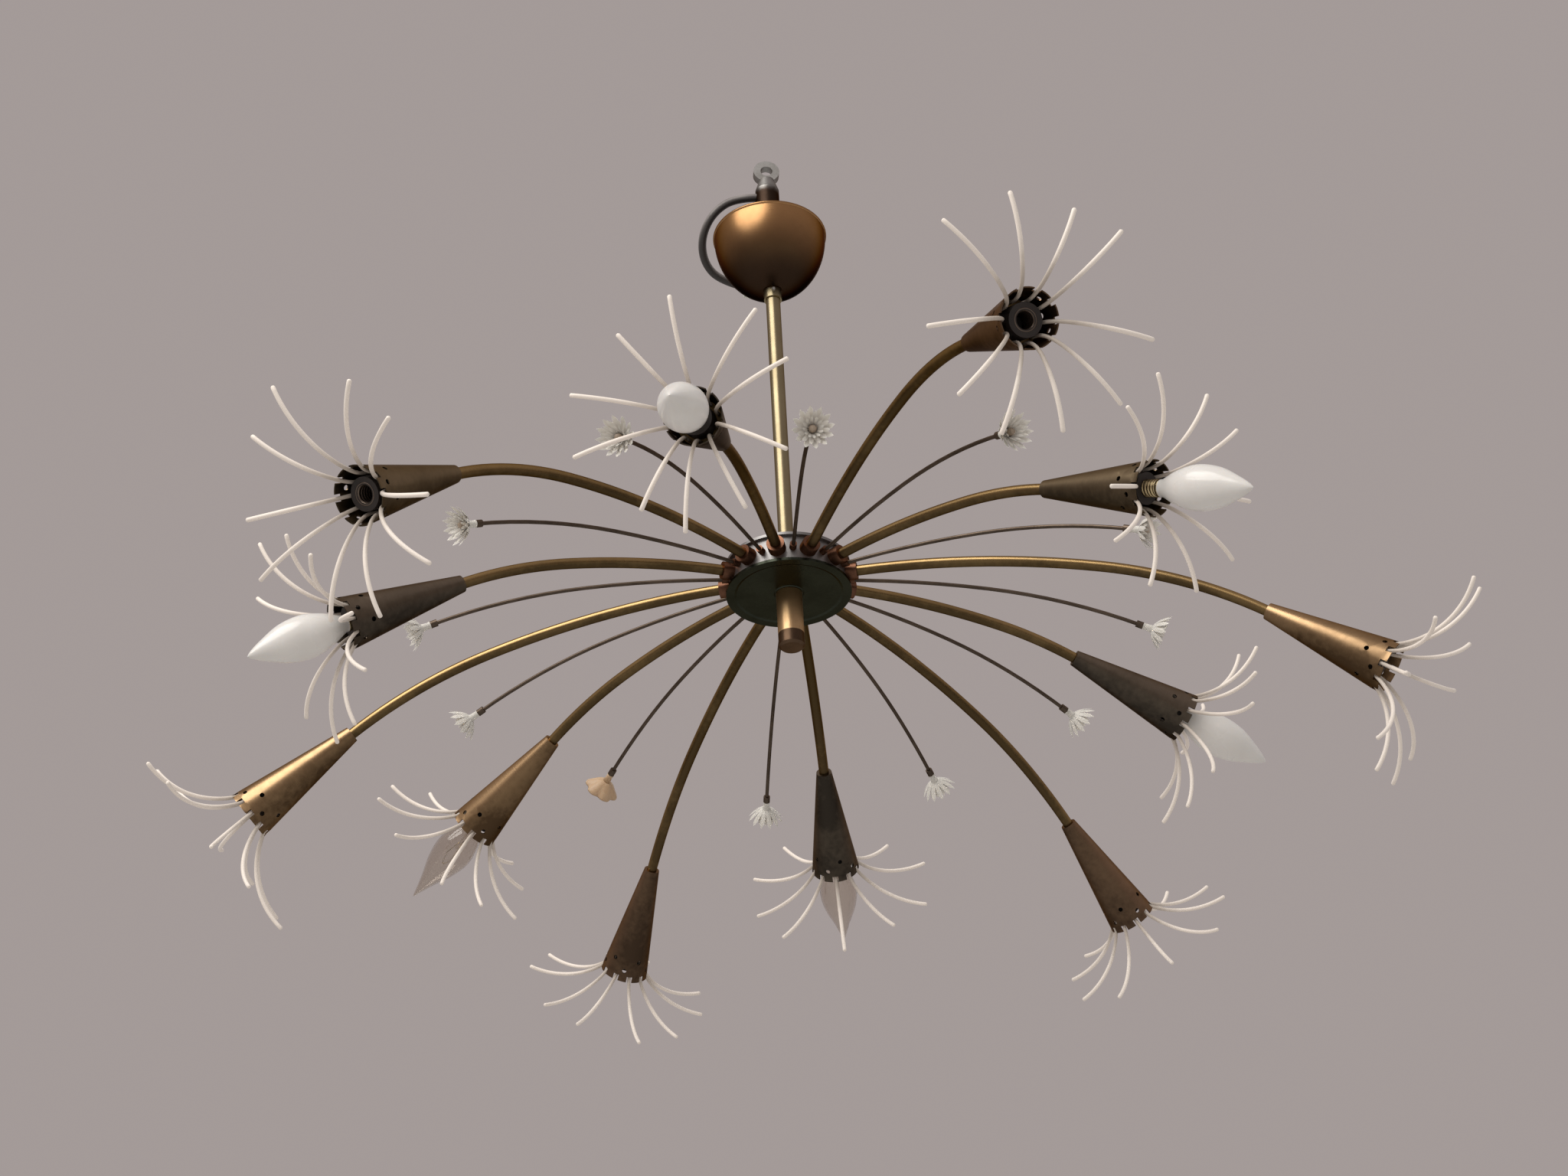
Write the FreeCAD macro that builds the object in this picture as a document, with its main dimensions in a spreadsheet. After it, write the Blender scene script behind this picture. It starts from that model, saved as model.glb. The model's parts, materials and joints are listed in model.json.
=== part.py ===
"""Sputnik chandelier: twelve brass arms with slim flower cups and twelve wire rods with glass florets.

Frame: millimetres, +Z up, origin at the centre of the hanging eye's bore, whose axis lies along Y.
Arms 1 to 12 run round the hub every 30 degrees; odd arms are long, even arms are short and hold bulbs.
"""
import FreeCAD, Part
import math
import os
import Sketcher

DOC = FreeCAD.newDocument("Chandelier")
SHEET = DOC.addObject("Spreadsheet::Sheet", "Sizes")
V = FreeCAD.Vector
UP = V(0, 0, 1)
ACROSS = V(0, 1, 0)
OUTWARD = V(1, 0, 0)

# ---------------------------------------------------------------- driving sizes (mm and degrees)
SIZES = {
    # hanging eye: a cast loop over a hollow body with a side hole for the supply cable
    "eye_bore_radius": 5.5, "eye_ring_radius": 12, "eye_ring_thickness": 8, "eye_shank_radius": 7,
    "eye_shank_length": 13, "eye_body_radius": 11, "eye_body_drop": 42, "eye_body_height": 20, "eye_roof": 2.5,
    "cable_hole_drop": 29.3, "nipple_radius": 5, "nipple_in_eye": 7,
    "locknut_across_flats": 17, "locknut_height": 5,
    # stem, its foot collar and the threaded tube that clamps the hub
    "stem_length": 391, "stem_radius": 6.5, "tube_bore_radius": 3.5, "tie_rod_radius": 5,
    "tie_rod_in_stem": 20, "tie_rod_in_finial": 12, "wire_window_radius": 2.5,
    "stem_collar_radius": 11, "stem_collar_height": 12, "core_radius": 1, "core_circle": 1.8,
    # canopy, the collar that carries it and the collar's screw
    "canopy_radius": 51, "canopy_depth": 64, "canopy_wall": 1.2, "canopy_bead_radius": 1.6,
    "canopy_rim_drop": 78, "canopy_foot_radius": 9.5, "canopy_collar_radius": 8,
    "canopy_collar_height": 10, "canopy_screw_radius": 1.5, "canopy_screw_length": 5,
    "canopy_screw_slot": 0.6,
    # hub
    "drum_radius": 50, "drum_wall": 2.5, "drum_height": 23, "plate_radius": 53, "plate_thickness": 2.5,
    "plate_step": 1, "plate_dish_radius": 44, "plate_dish_depth": 0.8, "plate_dish_slope": 2,
    "plate_seat_margin": 1,
    "connector_length": 34, "connector_width": 11, "connector_height": 9, "connector_gap": 8,
    # finial below the hub
    "finial_radius": 11, "finial_length": 40, "finial_wall": 1.5, "finial_floor": 4,
    "finial_cap_height": 13, "finial_cap_wall": 2, "finial_cap_round": 2, "finial_spigot": 5,
    # arms
    "arm_radius": 4.5, "arm_bore_radius": 3.5, "arm_root": 38, "bend_start": 52,
    "long_gentle_radius": 760, "long_gentle_turn": 16, "long_tight_radius": 384, "long_tight_turn": 20,
    "short_gentle_radius": 660, "short_gentle_turn": 12, "short_tight_radius": 330, "short_tight_turn": 13,
    "lead_in_turn": 0.8, "set_bend_radius": 40, "arm_wire_radius": 1.8, "arm_wire_root": 30,
    "arm_collar_radius": 7.5, "arm_collar_length": 9, "arm_nut_across_flats": 14, "arm_nut_length": 4,
    # cups
    "cup_length": 110, "cup_mouth_radius": 22, "cup_neck_radius": 7, "cup_wall": 1, "cup_end_wall": 4,
    "cup_nut_radius": 6, "cup_nut_height": 4,
    "notch_count": 10, "notch_width": 5.4, "notch_depth": 5.5, "vent_count": 5, "vent_radius": 2,
    "vent_row_near": 10.5, "vent_row_far": 20,
    # lampholders and bulbs with the small 14 mm screw cap
    "holder_recess": 7, "holder_radius": 12.5, "holder_base_radius": 8, "holder_length": 53,
    "holder_base_length": 4, "holder_taper": 6, "holder_entry_depth": 8, "cap_radius": 6.9,
    "cap_clearance": 0.08, "socket_depth": 22, "contact_radius": 3, "contact_height": 1.6,
    "cap_length": 24, "cap_button_radius": 3.4, "cap_button_height": 2, "bulb_radius": 17.5,
    "candle_length": 110, "flame_length": 116, "bulb_neck_radius": 6.8, "bulb_wall": 0.8, "filament_radius": 1.5,
    "filament_height": 42,
    # stamen wires in the cups
    "stamen_count": 10, "stamen_radius": 1.4, "stamen_circle": 15.1, "stamen_ring_height": 2.5,
    "stamen_ring_depth": 26, "stamen_straight": 8, "stamen_bend_radius": 28,
    "stamen_flare_radius": 75, "stamen_turn": 94,
    # rods and florets
    "rod_radius": 1.6, "rod_root": 43, "rod_gentle_radius": 850, "rod_gentle_turn": 8,
    "rod_tight_radius": 480, "rod_tight_turn": 16, "rod_nose": 15, "rod_collar_radius": 3,
    "rod_collar_length": 6, "rod_ferrule_radius": 3, "rod_ferrule_length": 6,
    "floret_radius": 16, "floret_depth": 12, "floret_wall": 1.2, "floret_foot_radius": 3.2,
    "floret_foot_length": 9, "floret_points": 12, "floret_valley_radius": 7.5,
    "floret_waist_radius_share": 0.62, "floret_waist_height_share": 0.42,
    "lobed_radius": 16, "lobe_radius": 6, "lobe_count": 6, "bead_radius": 3, "bead_length": 5,
    "bead_bevel": 1, "bead_nose": 1.5, "bead_tip": 0.5,
    # supply cable and the block on its end
    "cable_radius": 3.8, "cable_start": 3.5, "block_length": 20, "block_width": 16, "block_height": 13,
    "block_hole_radius": 1.7,
    # clearances
    "slip_clearance": 0.1, "free_clearance": 0.3,
}
for row, (alias, value) in enumerate(SIZES.items(), start=1):
    SHEET.set(f"A{row}", alias)
    SHEET.set(f"B{row}", str(value))
    SHEET.setAlias(f"B{row}", alias)
DOC.recompute()

ARMS = range(1, 13)
LAMPS = [arm for arm in ARMS if arm % 2 == 0]
CLEAR_BULBS = (6, 8)
LOBED_FLORET = 8
STEP_DEG = 30
FIRST_ARM_DEG = -75
FIRST_ROD_DEG = -90
# the small sets that the arms and rods have taken in use, in degrees: up, round to the left, and down at the cup
ARM_LIFT = {1: 7.8, 4: 0.7, 5: -1, 6: -1.3, 7: 0.5, 10: -0.7, 11: 0.8}
ARM_SWING = {1: -0.4, 2: -2.3, 5: -1, 6: 5.2, 7: 1, 8: 1, 9: -1.3, 12: -1.1}
ARM_DROOP = {2: 1.5, 3: 1.5, 8: 3, 10: 4}
ROD_LIFT = {1: -4, 2: 1, 5: 1.7, 7: -1.5, 8: 1}
ROD_SWING = {1: -2, 2: -3, 3: 1, 5: 1, 8: -1.6, 9: 1.4, 12: 1.5}
# how far each cup is turned about its own axis
CUP_ROLL = {1: -11, 3: 8, 9: 20, 12: -4}
# how far the stamens of a cup first lean out, and the sideways sway of each where it is not the usual one
STAMEN_LEAN = {1: 60, 2: 44, 3: 32, 9: 28, 11: 38, 12: 44}
USUAL_LEAN = 40
LEAN_SPREAD = 3
FLARE_SPREAD = 4
EXTRA_TURN = {1: 10}
STAMEN_SWAY = {1: (0, -7, -10, -10, 10, -3, -6, -7, 10, 10), 12: (-4, -10, -10, 5, -3, 6, 3, 7, 0, 10)}
USUAL_SWAY = 5
# how far a bulb is unscrewed from its socket
BULB_OUT = {2: 12}
# the supply cable's route from the eye, over the canopy's rim and down behind it
CABLE_ROUTE = [V(-29, 0, -29.3), V(-50.4, 8.2, -40.5), V(-61.1, 25, -56.3), V(-58, 46.9, -68.8),
               V(-42.2, 66, -74.4), V(-18.2, 74.7, -74.9)]
RUN_SHARE = 0.45

NODES = []


def size(alias):
    """The value of one driving size."""
    return float(SHEET.get(alias))


# ---------------------------------------------------------------- levels down the axis
EYE_FOOT = -size("eye_body_drop")
STEM_TOP = EYE_FOOT - size("locknut_height")
STEM_FOOT = STEM_TOP - size("stem_length")
DRUM_TOP = STEM_FOOT - size("plate_thickness")
DRUM_FOOT = DRUM_TOP - size("drum_height")
HUB_FOOT = DRUM_FOOT - size("plate_thickness")
ARM_LEVEL = DRUM_FOOT + size("drum_height") / 2
FINIAL_FOOT = HUB_FOOT - size("finial_length")
RIM_LEVEL = -size("canopy_rim_drop")
DRUM_BORE = size("drum_radius") - size("drum_wall")
SLIP = size("slip_clearance")
FREE = size("free_clearance")


# ---------------------------------------------------------------- helpers
def keep(item, label):
    """Name an object as a finished sub-part."""
    item.Label = label
    NODES.append(item)
    return item


def shape_node(label, shape, placement=None):
    """A sub-part whose shape is worked out with Part's own functions."""
    item = DOC.addObject("Part::Feature", label)
    item.Shape = shape
    if placement is not None:
        item.Placement = placement
    return keep(item, label)


def cylinder(name, radius, height, level):
    """A bound cylinder that stands on the given level."""
    item = DOC.addObject("Part::Cylinder", name)
    item.setExpression("Radius", radius)
    item.setExpression("Height", height)
    item.Placement.Base = V(0, 0, level)
    return item


def cut(name, base, tool):
    """One solid with another taken away."""
    item = DOC.addObject("Part::Cut", name)
    item.Base = base
    item.Tool = tool
    return item


def fuse(name, items):
    """Several solids joined in one."""
    item = DOC.addObject("Part::MultiFuse", name)
    item.Shapes = items
    return item


def turned(points):
    """A solid of revolution about Z from its outline in radius and height."""
    corners = [V(radius, 0, height) for radius, height in points]
    outline = Part.makePolygon(corners + corners[:1])
    return Part.Face(outline).revolve(V(0, 0, 0), UP, 360)


def ring(outer, inner, low, high):
    """A plain turned ring."""
    return turned([(inner, low), (outer, low), (outer, high), (inner, high)])


def hexagon(across_flats, bore, length):
    """A hexagon nut along Z with a plain bore."""
    corner = across_flats / math.sqrt(3)
    corners = [V(corner * math.cos(math.radians(60 * turn)), corner * math.sin(math.radians(60 * turn)), 0)
               for turn in range(7)]
    nut = Part.Face(Part.makePolygon(corners)).extrude(UP * length)
    return nut.cut(Part.makeCylinder(bore, length))


def around(shape, count, start=0.0):
    """Copies of a shape spread evenly about Z."""
    copies = []
    for index in range(int(count)):
        turned_copy = shape.copy()
        turned_copy.rotate(V(0, 0, 0), UP, start + 360 * index / int(count))
        copies.append(turned_copy)
    return copies


def at(shape, placement):
    """A copy of a shape at a placement."""
    moved = shape.copy()
    moved.Placement = placement.multiply(shape.Placement)
    return moved


class Spine:
    """The centre line of a bent tube: straight pieces and tangent arcs, as a pipe bender makes them."""

    def __init__(self, start, heading):
        self.start = start
        self.first_heading = heading
        self.point = start
        self.heading = heading
        self.length = 0.0
        self.edges = []

    def straight(self, length):
        """Run straight on."""
        end = self.point + self.heading * length
        self.edges.append(Part.LineSegment(self.point, end).toShape())
        self.point = end
        self.length += length

    def bend(self, radius, degrees, axis):
        """Turn about an axis that stands square to the heading."""
        centre = self.point + axis.cross(self.heading) * radius
        spoke = self.point - centre
        middle = centre + FreeCAD.Rotation(axis, degrees / 2).multVec(spoke)
        end = centre + FreeCAD.Rotation(axis, degrees).multVec(spoke)
        self.edges.append(Part.Arc(self.point, middle, end).toShape())
        self.point = end
        self.heading = FreeCAD.Rotation(axis, degrees).multVec(self.heading)
        self.length += radius * math.radians(degrees)

    def head_for(self, target, radius):
        """Turn to a new heading on one arc, where it differs from the present one."""
        axis = self.heading.cross(target)
        if axis.Length > 1e-9:
            turn = math.degrees(self.heading.getAngle(target))
            self.bend(radius, turn, axis.normalize())

    def rod(self, radius):
        """A solid round rod along the line."""
        section = Part.Face(Part.Wire(Part.makeCircle(radius, self.start, self.first_heading)))
        return Part.Wire(self.edges).makePipe(section)


# ---------------------------------------------------------------- hanging eye, locknut and stem
def make_hanging_eye():
    """The cast eye: a ring on a tapered shank over a hollow body with a side hole."""
    body = cylinder("EyeBody", "Sizes.eye_body_radius", "Sizes.eye_body_height", EYE_FOOT)
    shank = DOC.addObject("Part::Cone", "EyeShank")
    shank.setExpression("Radius1", "Sizes.eye_body_radius")
    shank.setExpression("Radius2", "Sizes.eye_shank_radius")
    shank.setExpression("Height", "Sizes.eye_shank_length")
    shank.Placement.Base = V(0, 0, EYE_FOOT + size("eye_body_height"))
    loop = DOC.addObject("Part::Cylinder", "EyeRing")
    loop.setExpression("Radius", "Sizes.eye_ring_radius")
    loop.setExpression("Height", "Sizes.eye_ring_thickness")
    loop.Placement = FreeCAD.Placement(V(0, size("eye_ring_thickness") / 2, 0), FreeCAD.Rotation(OUTWARD, 90))
    bore = DOC.addObject("Part::Cylinder", "EyeBore")
    bore.setExpression("Radius", "Sizes.eye_bore_radius")
    bore.setExpression("Height", "4 * Sizes.eye_ring_thickness")
    bore.Placement = FreeCAD.Placement(V(0, 2 * size("eye_ring_thickness"), 0), FreeCAD.Rotation(OUTWARD, 90))
    cavity = cylinder("EyeCavity", "Sizes.nipple_radius + Sizes.slip_clearance",
                      "Sizes.eye_body_height - Sizes.eye_roof", EYE_FOOT)
    side = DOC.addObject("Part::Cylinder", "EyeSideHole")
    side.setExpression("Radius", "Sizes.cable_radius + Sizes.slip_clearance")
    side.setExpression("Height", "2 * Sizes.eye_body_radius")
    side.Placement = FreeCAD.Placement(V(0, 0, -size("cable_hole_drop")), FreeCAD.Rotation(ACROSS, -90))
    casting = fuse("EyeCasting", [body, shank, loop])
    hollows = fuse("EyeHollows", [bore, cavity, side])
    keep(cut("HangingEye", casting, hollows), "hanging_eye")


def make_eye_locknut():
    """The hexagon nut that locks the eye on the stem's threaded end."""
    body = DOC.addObject("PartDesign::Body", "EyeLocknut")
    sketch = body.newObject("Sketcher::SketchObject", "LocknutSketch")
    plane = next(item for item in body.Origin.OriginFeatures if item.Role == "XY_Plane")
    sketch.AttachmentSupport = [(plane, "")]
    sketch.MapMode = "FlatFace"
    corner = size("locknut_across_flats") / math.sqrt(3)
    corners = [V(corner * math.cos(math.radians(60 * turn)), corner * math.sin(math.radians(60 * turn)), 0)
               for turn in range(6)]
    for turn in range(6):
        sketch.addGeometry(Part.LineSegment(corners[turn], corners[(turn + 1) % 6]))
    for turn in range(6):
        sketch.addConstraint(Sketcher.Constraint("Coincident", turn, 2, (turn + 1) % 6, 1))
        if turn:
            sketch.addConstraint(Sketcher.Constraint("Equal", 0, turn))
    rim = sketch.addGeometry(Part.Circle(V(0, 0, 0), UP, corner), True)
    sketch.addConstraint(Sketcher.Constraint("Coincident", rim, 3, -1, 1))
    for turn in range(6):
        sketch.addConstraint(Sketcher.Constraint("PointOnObject", turn, 1, rim))
    sketch.addConstraint(Sketcher.Constraint("PointOnObject", 0, 1, -1))
    flats = sketch.addConstraint(Sketcher.Constraint("Radius", rim, corner))
    sketch.setExpression(f"Constraints[{flats}]", "Sizes.locknut_across_flats / sqrt(3)")
    hole = sketch.addGeometry(Part.Circle(V(0, 0, 0), UP, size("nipple_radius")))
    sketch.addConstraint(Sketcher.Constraint("Coincident", hole, 3, -1, 1))
    bore = sketch.addConstraint(Sketcher.Constraint("Radius", hole, size("nipple_radius")))
    sketch.setExpression(f"Constraints[{bore}]", "Sizes.nipple_radius + Sizes.slip_clearance")
    pad = body.newObject("PartDesign::Pad", "LocknutPad")
    pad.Profile = sketch
    pad.setExpression("Length", "Sizes.locknut_height")
    body.Placement.Base = V(0, 0, STEM_TOP)
    keep(body, "eye_locknut")


def make_stem():
    """The long tube: threaded down at the top, bored wide at the foot for the tie rod."""
    tube = cylinder("StemTube", "Sizes.stem_radius", "Sizes.stem_length", STEM_FOOT)
    nipple = cylinder("StemNipple", "Sizes.nipple_radius", "Sizes.locknut_height + Sizes.nipple_in_eye", STEM_TOP)
    bore = cylinder("StemBore", "Sizes.tube_bore_radius",
                    "Sizes.stem_length + Sizes.locknut_height + Sizes.nipple_in_eye", STEM_FOOT)
    foot = cylinder("StemFootBore", "Sizes.tie_rod_radius + Sizes.slip_clearance",
                    "Sizes.tie_rod_in_stem + Sizes.free_clearance", STEM_FOOT)
    keep(cut("Stem", fuse("StemOuter", [tube, nipple]), fuse("StemInner", [bore, foot])), "stem")


def make_stem_collar():
    """The bright collar round the foot of the stem."""
    outer = cylinder("StemCollarOuter", "Sizes.stem_collar_radius", "Sizes.stem_collar_height", STEM_FOOT)
    inner = cylinder("StemCollarBore", "Sizes.stem_radius + Sizes.slip_clearance", "Sizes.stem_collar_height",
                     STEM_FOOT)
    keep(cut("StemCollar", outer, inner), "stem_collar")


def make_tie_rod():
    """The threaded tube from the stem's foot through the hub into the finial, with windows for the wires."""
    low = HUB_FOOT - size("tie_rod_in_finial")
    length = ("Sizes.tie_rod_in_stem + Sizes.drum_height + 2 * Sizes.plate_thickness"
              " + Sizes.tie_rod_in_finial")
    outer = cylinder("TieRodOuter", "Sizes.tie_rod_radius", length, low)
    inner = cylinder("TieRodBore", "Sizes.tube_bore_radius", length, low)
    window = DOC.addObject("Part::Cylinder", "TieRodWindow")
    window.setExpression("Radius", "Sizes.wire_window_radius")
    window.setExpression("Height", "4 * Sizes.tie_rod_radius")
    window.Placement = FreeCAD.Placement(V(0, 2 * size("tie_rod_radius"), ARM_LEVEL), FreeCAD.Rotation(OUTWARD, 90))
    keep(cut("TieRod", outer, fuse("TieRodHollows", [inner, window])), "tie_rod")


def make_stem_cores():
    """Three insulated cores that run down the stem from the eye's body to the hub."""
    high = -size("cable_hole_drop")
    core = Part.makeCylinder(size("core_radius"), high - ARM_LEVEL, V(size("core_circle"), 0, ARM_LEVEL))
    shape_node("stem_cores", Part.makeCompound(around(core, 3, 30)))


# ---------------------------------------------------------------- canopy on its collar
def quarter_oval(radius, depth, first_radius):
    """A smooth quarter oval from the rim level down to a small radius, as one curve."""
    start = math.acos(first_radius / radius)
    steps = 8
    points = []
    for index in range(steps + 1):
        angle = start * index / steps
        points.append(V(radius * math.cos(angle), 0, RIM_LEVEL - depth * math.sin(angle)))
    curve = Part.BSplineCurve()
    curve.interpolate(points)
    return curve.toShape(), points[0], points[-1]


def canopy_foot_level():
    """The underside of the canopy's flat foot."""
    share = size("canopy_foot_radius") / size("canopy_radius")
    return RIM_LEVEL - size("canopy_depth") * math.sqrt(1 - share ** 2)


def make_canopy():
    """The bowl: a spun oval shell, open at the top, with a rolled rim and a flat foot round the stem."""
    wall = size("canopy_wall")
    hole = size("stem_radius") + FREE
    outer, outer_rim, outer_foot = quarter_oval(size("canopy_radius"), size("canopy_depth"),
                                                size("canopy_foot_radius"))
    inner, inner_rim, inner_foot = quarter_oval(size("canopy_radius") - wall, size("canopy_depth") - wall,
                                                size("canopy_foot_radius"))
    foot = V(hole, 0, outer_foot.z)
    floor = V(hole, 0, inner_foot.z)
    edges = [outer, Part.makeLine(outer_foot, foot), Part.makeLine(foot, floor),
             Part.makeLine(floor, inner_foot), inner, Part.makeLine(inner_rim, outer_rim)]
    shell = Part.Face(Part.Wire(Part.__sortEdges__(edges))).revolve(V(0, 0, 0), UP, 360)
    bead = Part.makeTorus(size("canopy_radius") - wall / 2, size("canopy_bead_radius"), V(0, 0, RIM_LEVEL), UP)
    shape_node("canopy", shell.fuse(bead).removeSplitter())


def make_canopy_collar():
    """The collar under the canopy and the slotted screw that grips the stem."""
    high = canopy_foot_level()
    low = high - size("canopy_collar_height")
    middle = (high + low) / 2
    bore = size("stem_radius") + SLIP / 2
    screw_start = V(0, -bore - SLIP, middle)
    screw_hole = Part.makeCylinder(size("canopy_screw_radius") + SLIP / 2, size("canopy_collar_radius"),
                                   V(0, 0, middle), -ACROSS)
    shape_node("canopy_collar", ring(size("canopy_collar_radius"), bore, low, high).cut(screw_hole))
    screw = Part.makeCylinder(size("canopy_screw_radius"), size("canopy_screw_length"), screw_start, -ACROSS)
    slot = Part.makeBox(2 * size("canopy_screw_radius"), size("canopy_screw_slot"), size("canopy_screw_slot"))
    slot.translate(V(-size("canopy_screw_radius"), screw_start.y - size("canopy_screw_length"),
                     middle - size("canopy_screw_slot") / 2))
    shape_node("canopy_screw", screw.cut(slot))


# ---------------------------------------------------------------- hub
def make_plate(name, label, sign, level):
    """A round end plate that steps into the drum, pressed hollow on its outer side."""
    body = DOC.addObject("PartDesign::Body", name)
    plane = next(item for item in body.Origin.OriginFeatures if item.Role == "XZ_Plane")
    sketch = body.newObject("Sketcher::SketchObject", name + "Sketch")
    sketch.AttachmentSupport = [(plane, "")]
    sketch.MapMode = "FlatFace"
    hole = size("tie_rod_radius") + SLIP
    seat = size("stem_collar_radius") + size("plate_seat_margin")
    thick = size("plate_thickness")
    outline = [(hole, 0), (seat, 0), (seat + size("plate_dish_depth"), size("plate_dish_depth")),
               (size("plate_dish_radius"), size("plate_dish_depth")),
               (size("plate_dish_radius") + size("plate_dish_slope"), 0),
               (size("plate_radius"), 0), (size("plate_radius"), thick),
               (DRUM_BORE - SLIP, thick), (DRUM_BORE - SLIP, thick + size("plate_step")),
               (hole, thick + size("plate_step"))]
    corners = [V(radius, sign * height, 0) for radius, height in outline]
    count = len(corners)
    for index in range(count):
        sketch.addGeometry(Part.LineSegment(corners[index], corners[(index + 1) % count]))
    for index in range(count):
        sketch.addConstraint(Sketcher.Constraint("Coincident", index, 2, (index + 1) % count, 1))
    rim = sketch.addConstraint(Sketcher.Constraint("DistanceX", -1, 1, 5, 1, size("plate_radius")))
    sketch.setExpression(f"Constraints[{rim}]", "Sizes.plate_radius")
    for index, (radius, height) in enumerate(outline):
        if index != 5:
            sketch.addConstraint(Sketcher.Constraint("DistanceX", -1, 1, index, 1, radius))
        if height == 0:
            sketch.addConstraint(Sketcher.Constraint("PointOnObject", index, 1, -1))
        elif sign > 0:
            sketch.addConstraint(Sketcher.Constraint("DistanceY", -1, 1, index, 1, height))
        else:
            sketch.addConstraint(Sketcher.Constraint("DistanceY", index, 1, -1, 1, height))
    spin = body.newObject("PartDesign::Revolution", name + "Spin")
    spin.Profile = sketch
    spin.ReferenceAxis = (sketch, ["V_Axis"])
    spin.Angle = 360
    body.Placement.Base = V(0, 0, level)
    keep(body, label)


def make_drum():
    """The drum's wall, with a hole for each arm and each rod."""
    wall = ring(size("drum_radius"), DRUM_BORE, DRUM_FOOT, DRUM_TOP)
    arm_hole = Part.makeCylinder(size("arm_radius") + SLIP, size("drum_radius"), V(size("arm_root"), 0, ARM_LEVEL),
                                 OUTWARD)
    rod_hole = Part.makeCylinder(size("rod_radius") + SLIP, size("drum_radius"), V(size("arm_root"), 0, ARM_LEVEL),
                                 OUTWARD)
    holes = around(arm_hole, len(ARMS), FIRST_ARM_DEG) + around(rod_hole, len(ARMS), FIRST_ROD_DEG)
    shape_node("hub_drum", wall.cut(Part.makeCompound(holes)))


def make_connectors():
    """Two connector strips that stand on the hub's bottom plate, one on each side of the tie rod."""
    low = DRUM_FOOT + size("plate_step")
    blocks = []
    for side in (-1, 1):
        block = Part.makeBox(size("connector_length"), size("connector_width"), size("connector_height"))
        middle = side * (size("connector_gap") + size("connector_width") / 2)
        block.translate(V(-size("connector_length") / 2, middle - size("connector_width") / 2, low))
        blocks.append(block)
    shape_node("hub_connectors", Part.makeCompound(blocks))


def make_finial():
    """The tube under the hub and the cap that closes it."""
    radius = size("finial_radius")
    bore = radius - size("finial_wall")
    floor = HUB_FOOT - size("finial_floor")
    thread = size("tie_rod_radius") + SLIP
    shape_node("finial_tube", turned([(thread, HUB_FOOT), (radius, HUB_FOOT), (radius, FINIAL_FOOT),
                                      (bore, FINIAL_FOOT), (bore, floor), (thread, floor)]))
    foot = FINIAL_FOOT - size("finial_cap_height")
    spigot = bore - SLIP
    hollow = spigot - size("finial_cap_wall")
    rounding = size("finial_cap_round")
    shape_node("finial_cap", turned([(0, foot), (radius - rounding, foot), (radius, foot + rounding),
                                     (radius, FINIAL_FOOT), (spigot, FINIAL_FOOT),
                                     (spigot, FINIAL_FOOT + size("finial_spigot")),
                                     (hollow, FINIAL_FOOT + size("finial_spigot")),
                                     (hollow, foot + size("finial_cap_wall")),
                                     (0, foot + size("finial_cap_wall"))]))


# ---------------------------------------------------------------- arms
def hub_frame(degrees):
    """The placement whose X axis runs out from the hub at an azimuth."""
    return FreeCAD.Placement(V(0, 0, ARM_LEVEL), FreeCAD.Rotation(UP, degrees))


def arm_degrees(arm):
    """The azimuth of an arm where it leaves the hub."""
    return FIRST_ARM_DEG + STEP_DEG * (arm - 1)


def rod_degrees(rod):
    """The azimuth of a rod where it leaves the hub."""
    return FIRST_ROD_DEG + STEP_DEG * (rod - 1)


def sagging_spine(root, kind, lift, swing, droop=0.0):
    """A line that leaves the hub level and sinks on a gentle arc and a tighter one."""
    spine = Spine(V(root, 0, 0), OUTWARD)
    spine.straight(size("bend_start") - root)
    spine.bend(size(kind + "_gentle_radius"), size("lead_in_turn"), ACROSS)
    raised = FreeCAD.Rotation(ACROSS, -lift).multVec(spine.heading)
    spine.head_for(FreeCAD.Rotation(UP, swing).multVec(raised), size("set_bend_radius"))
    across = FreeCAD.Rotation(UP, swing).multVec(ACROSS)
    spine.bend(size(kind + "_gentle_radius"), size(kind + "_gentle_turn") - size("lead_in_turn"), across)
    spine.bend(size(kind + "_tight_radius"), size(kind + "_tight_turn") + droop, across)
    return spine, across


def arm_spine(arm, root):
    """The line of an arm as far as the neck of its cup."""
    kind = "long" if arm % 2 else "short"
    return sagging_spine(root, kind, ARM_LIFT.get(arm, 0), ARM_SWING.get(arm, 0), ARM_DROOP.get(arm, 0))


def cup_frame(arm):
    """The placement of a cup: origin at its neck, Z out of its mouth."""
    spine, across = arm_spine(arm, size("arm_root"))
    facing = FreeCAD.Rotation(across.cross(spine.heading), across, spine.heading, "ZXY")
    return hub_frame(arm_degrees(arm)).multiply(FreeCAD.Placement(spine.point, facing))


HOLDER_MOUTH = size("cup_length") - size("holder_recess")
HOLDER_FOOT = HOLDER_MOUTH - size("holder_length")
ARM_END = HOLDER_FOOT + size("holder_entry_depth") - FREE
SOCKET_FLOOR = HOLDER_MOUTH - size("socket_depth")
CONTACT_FOOT = SOCKET_FLOOR - size("contact_height")


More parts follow.
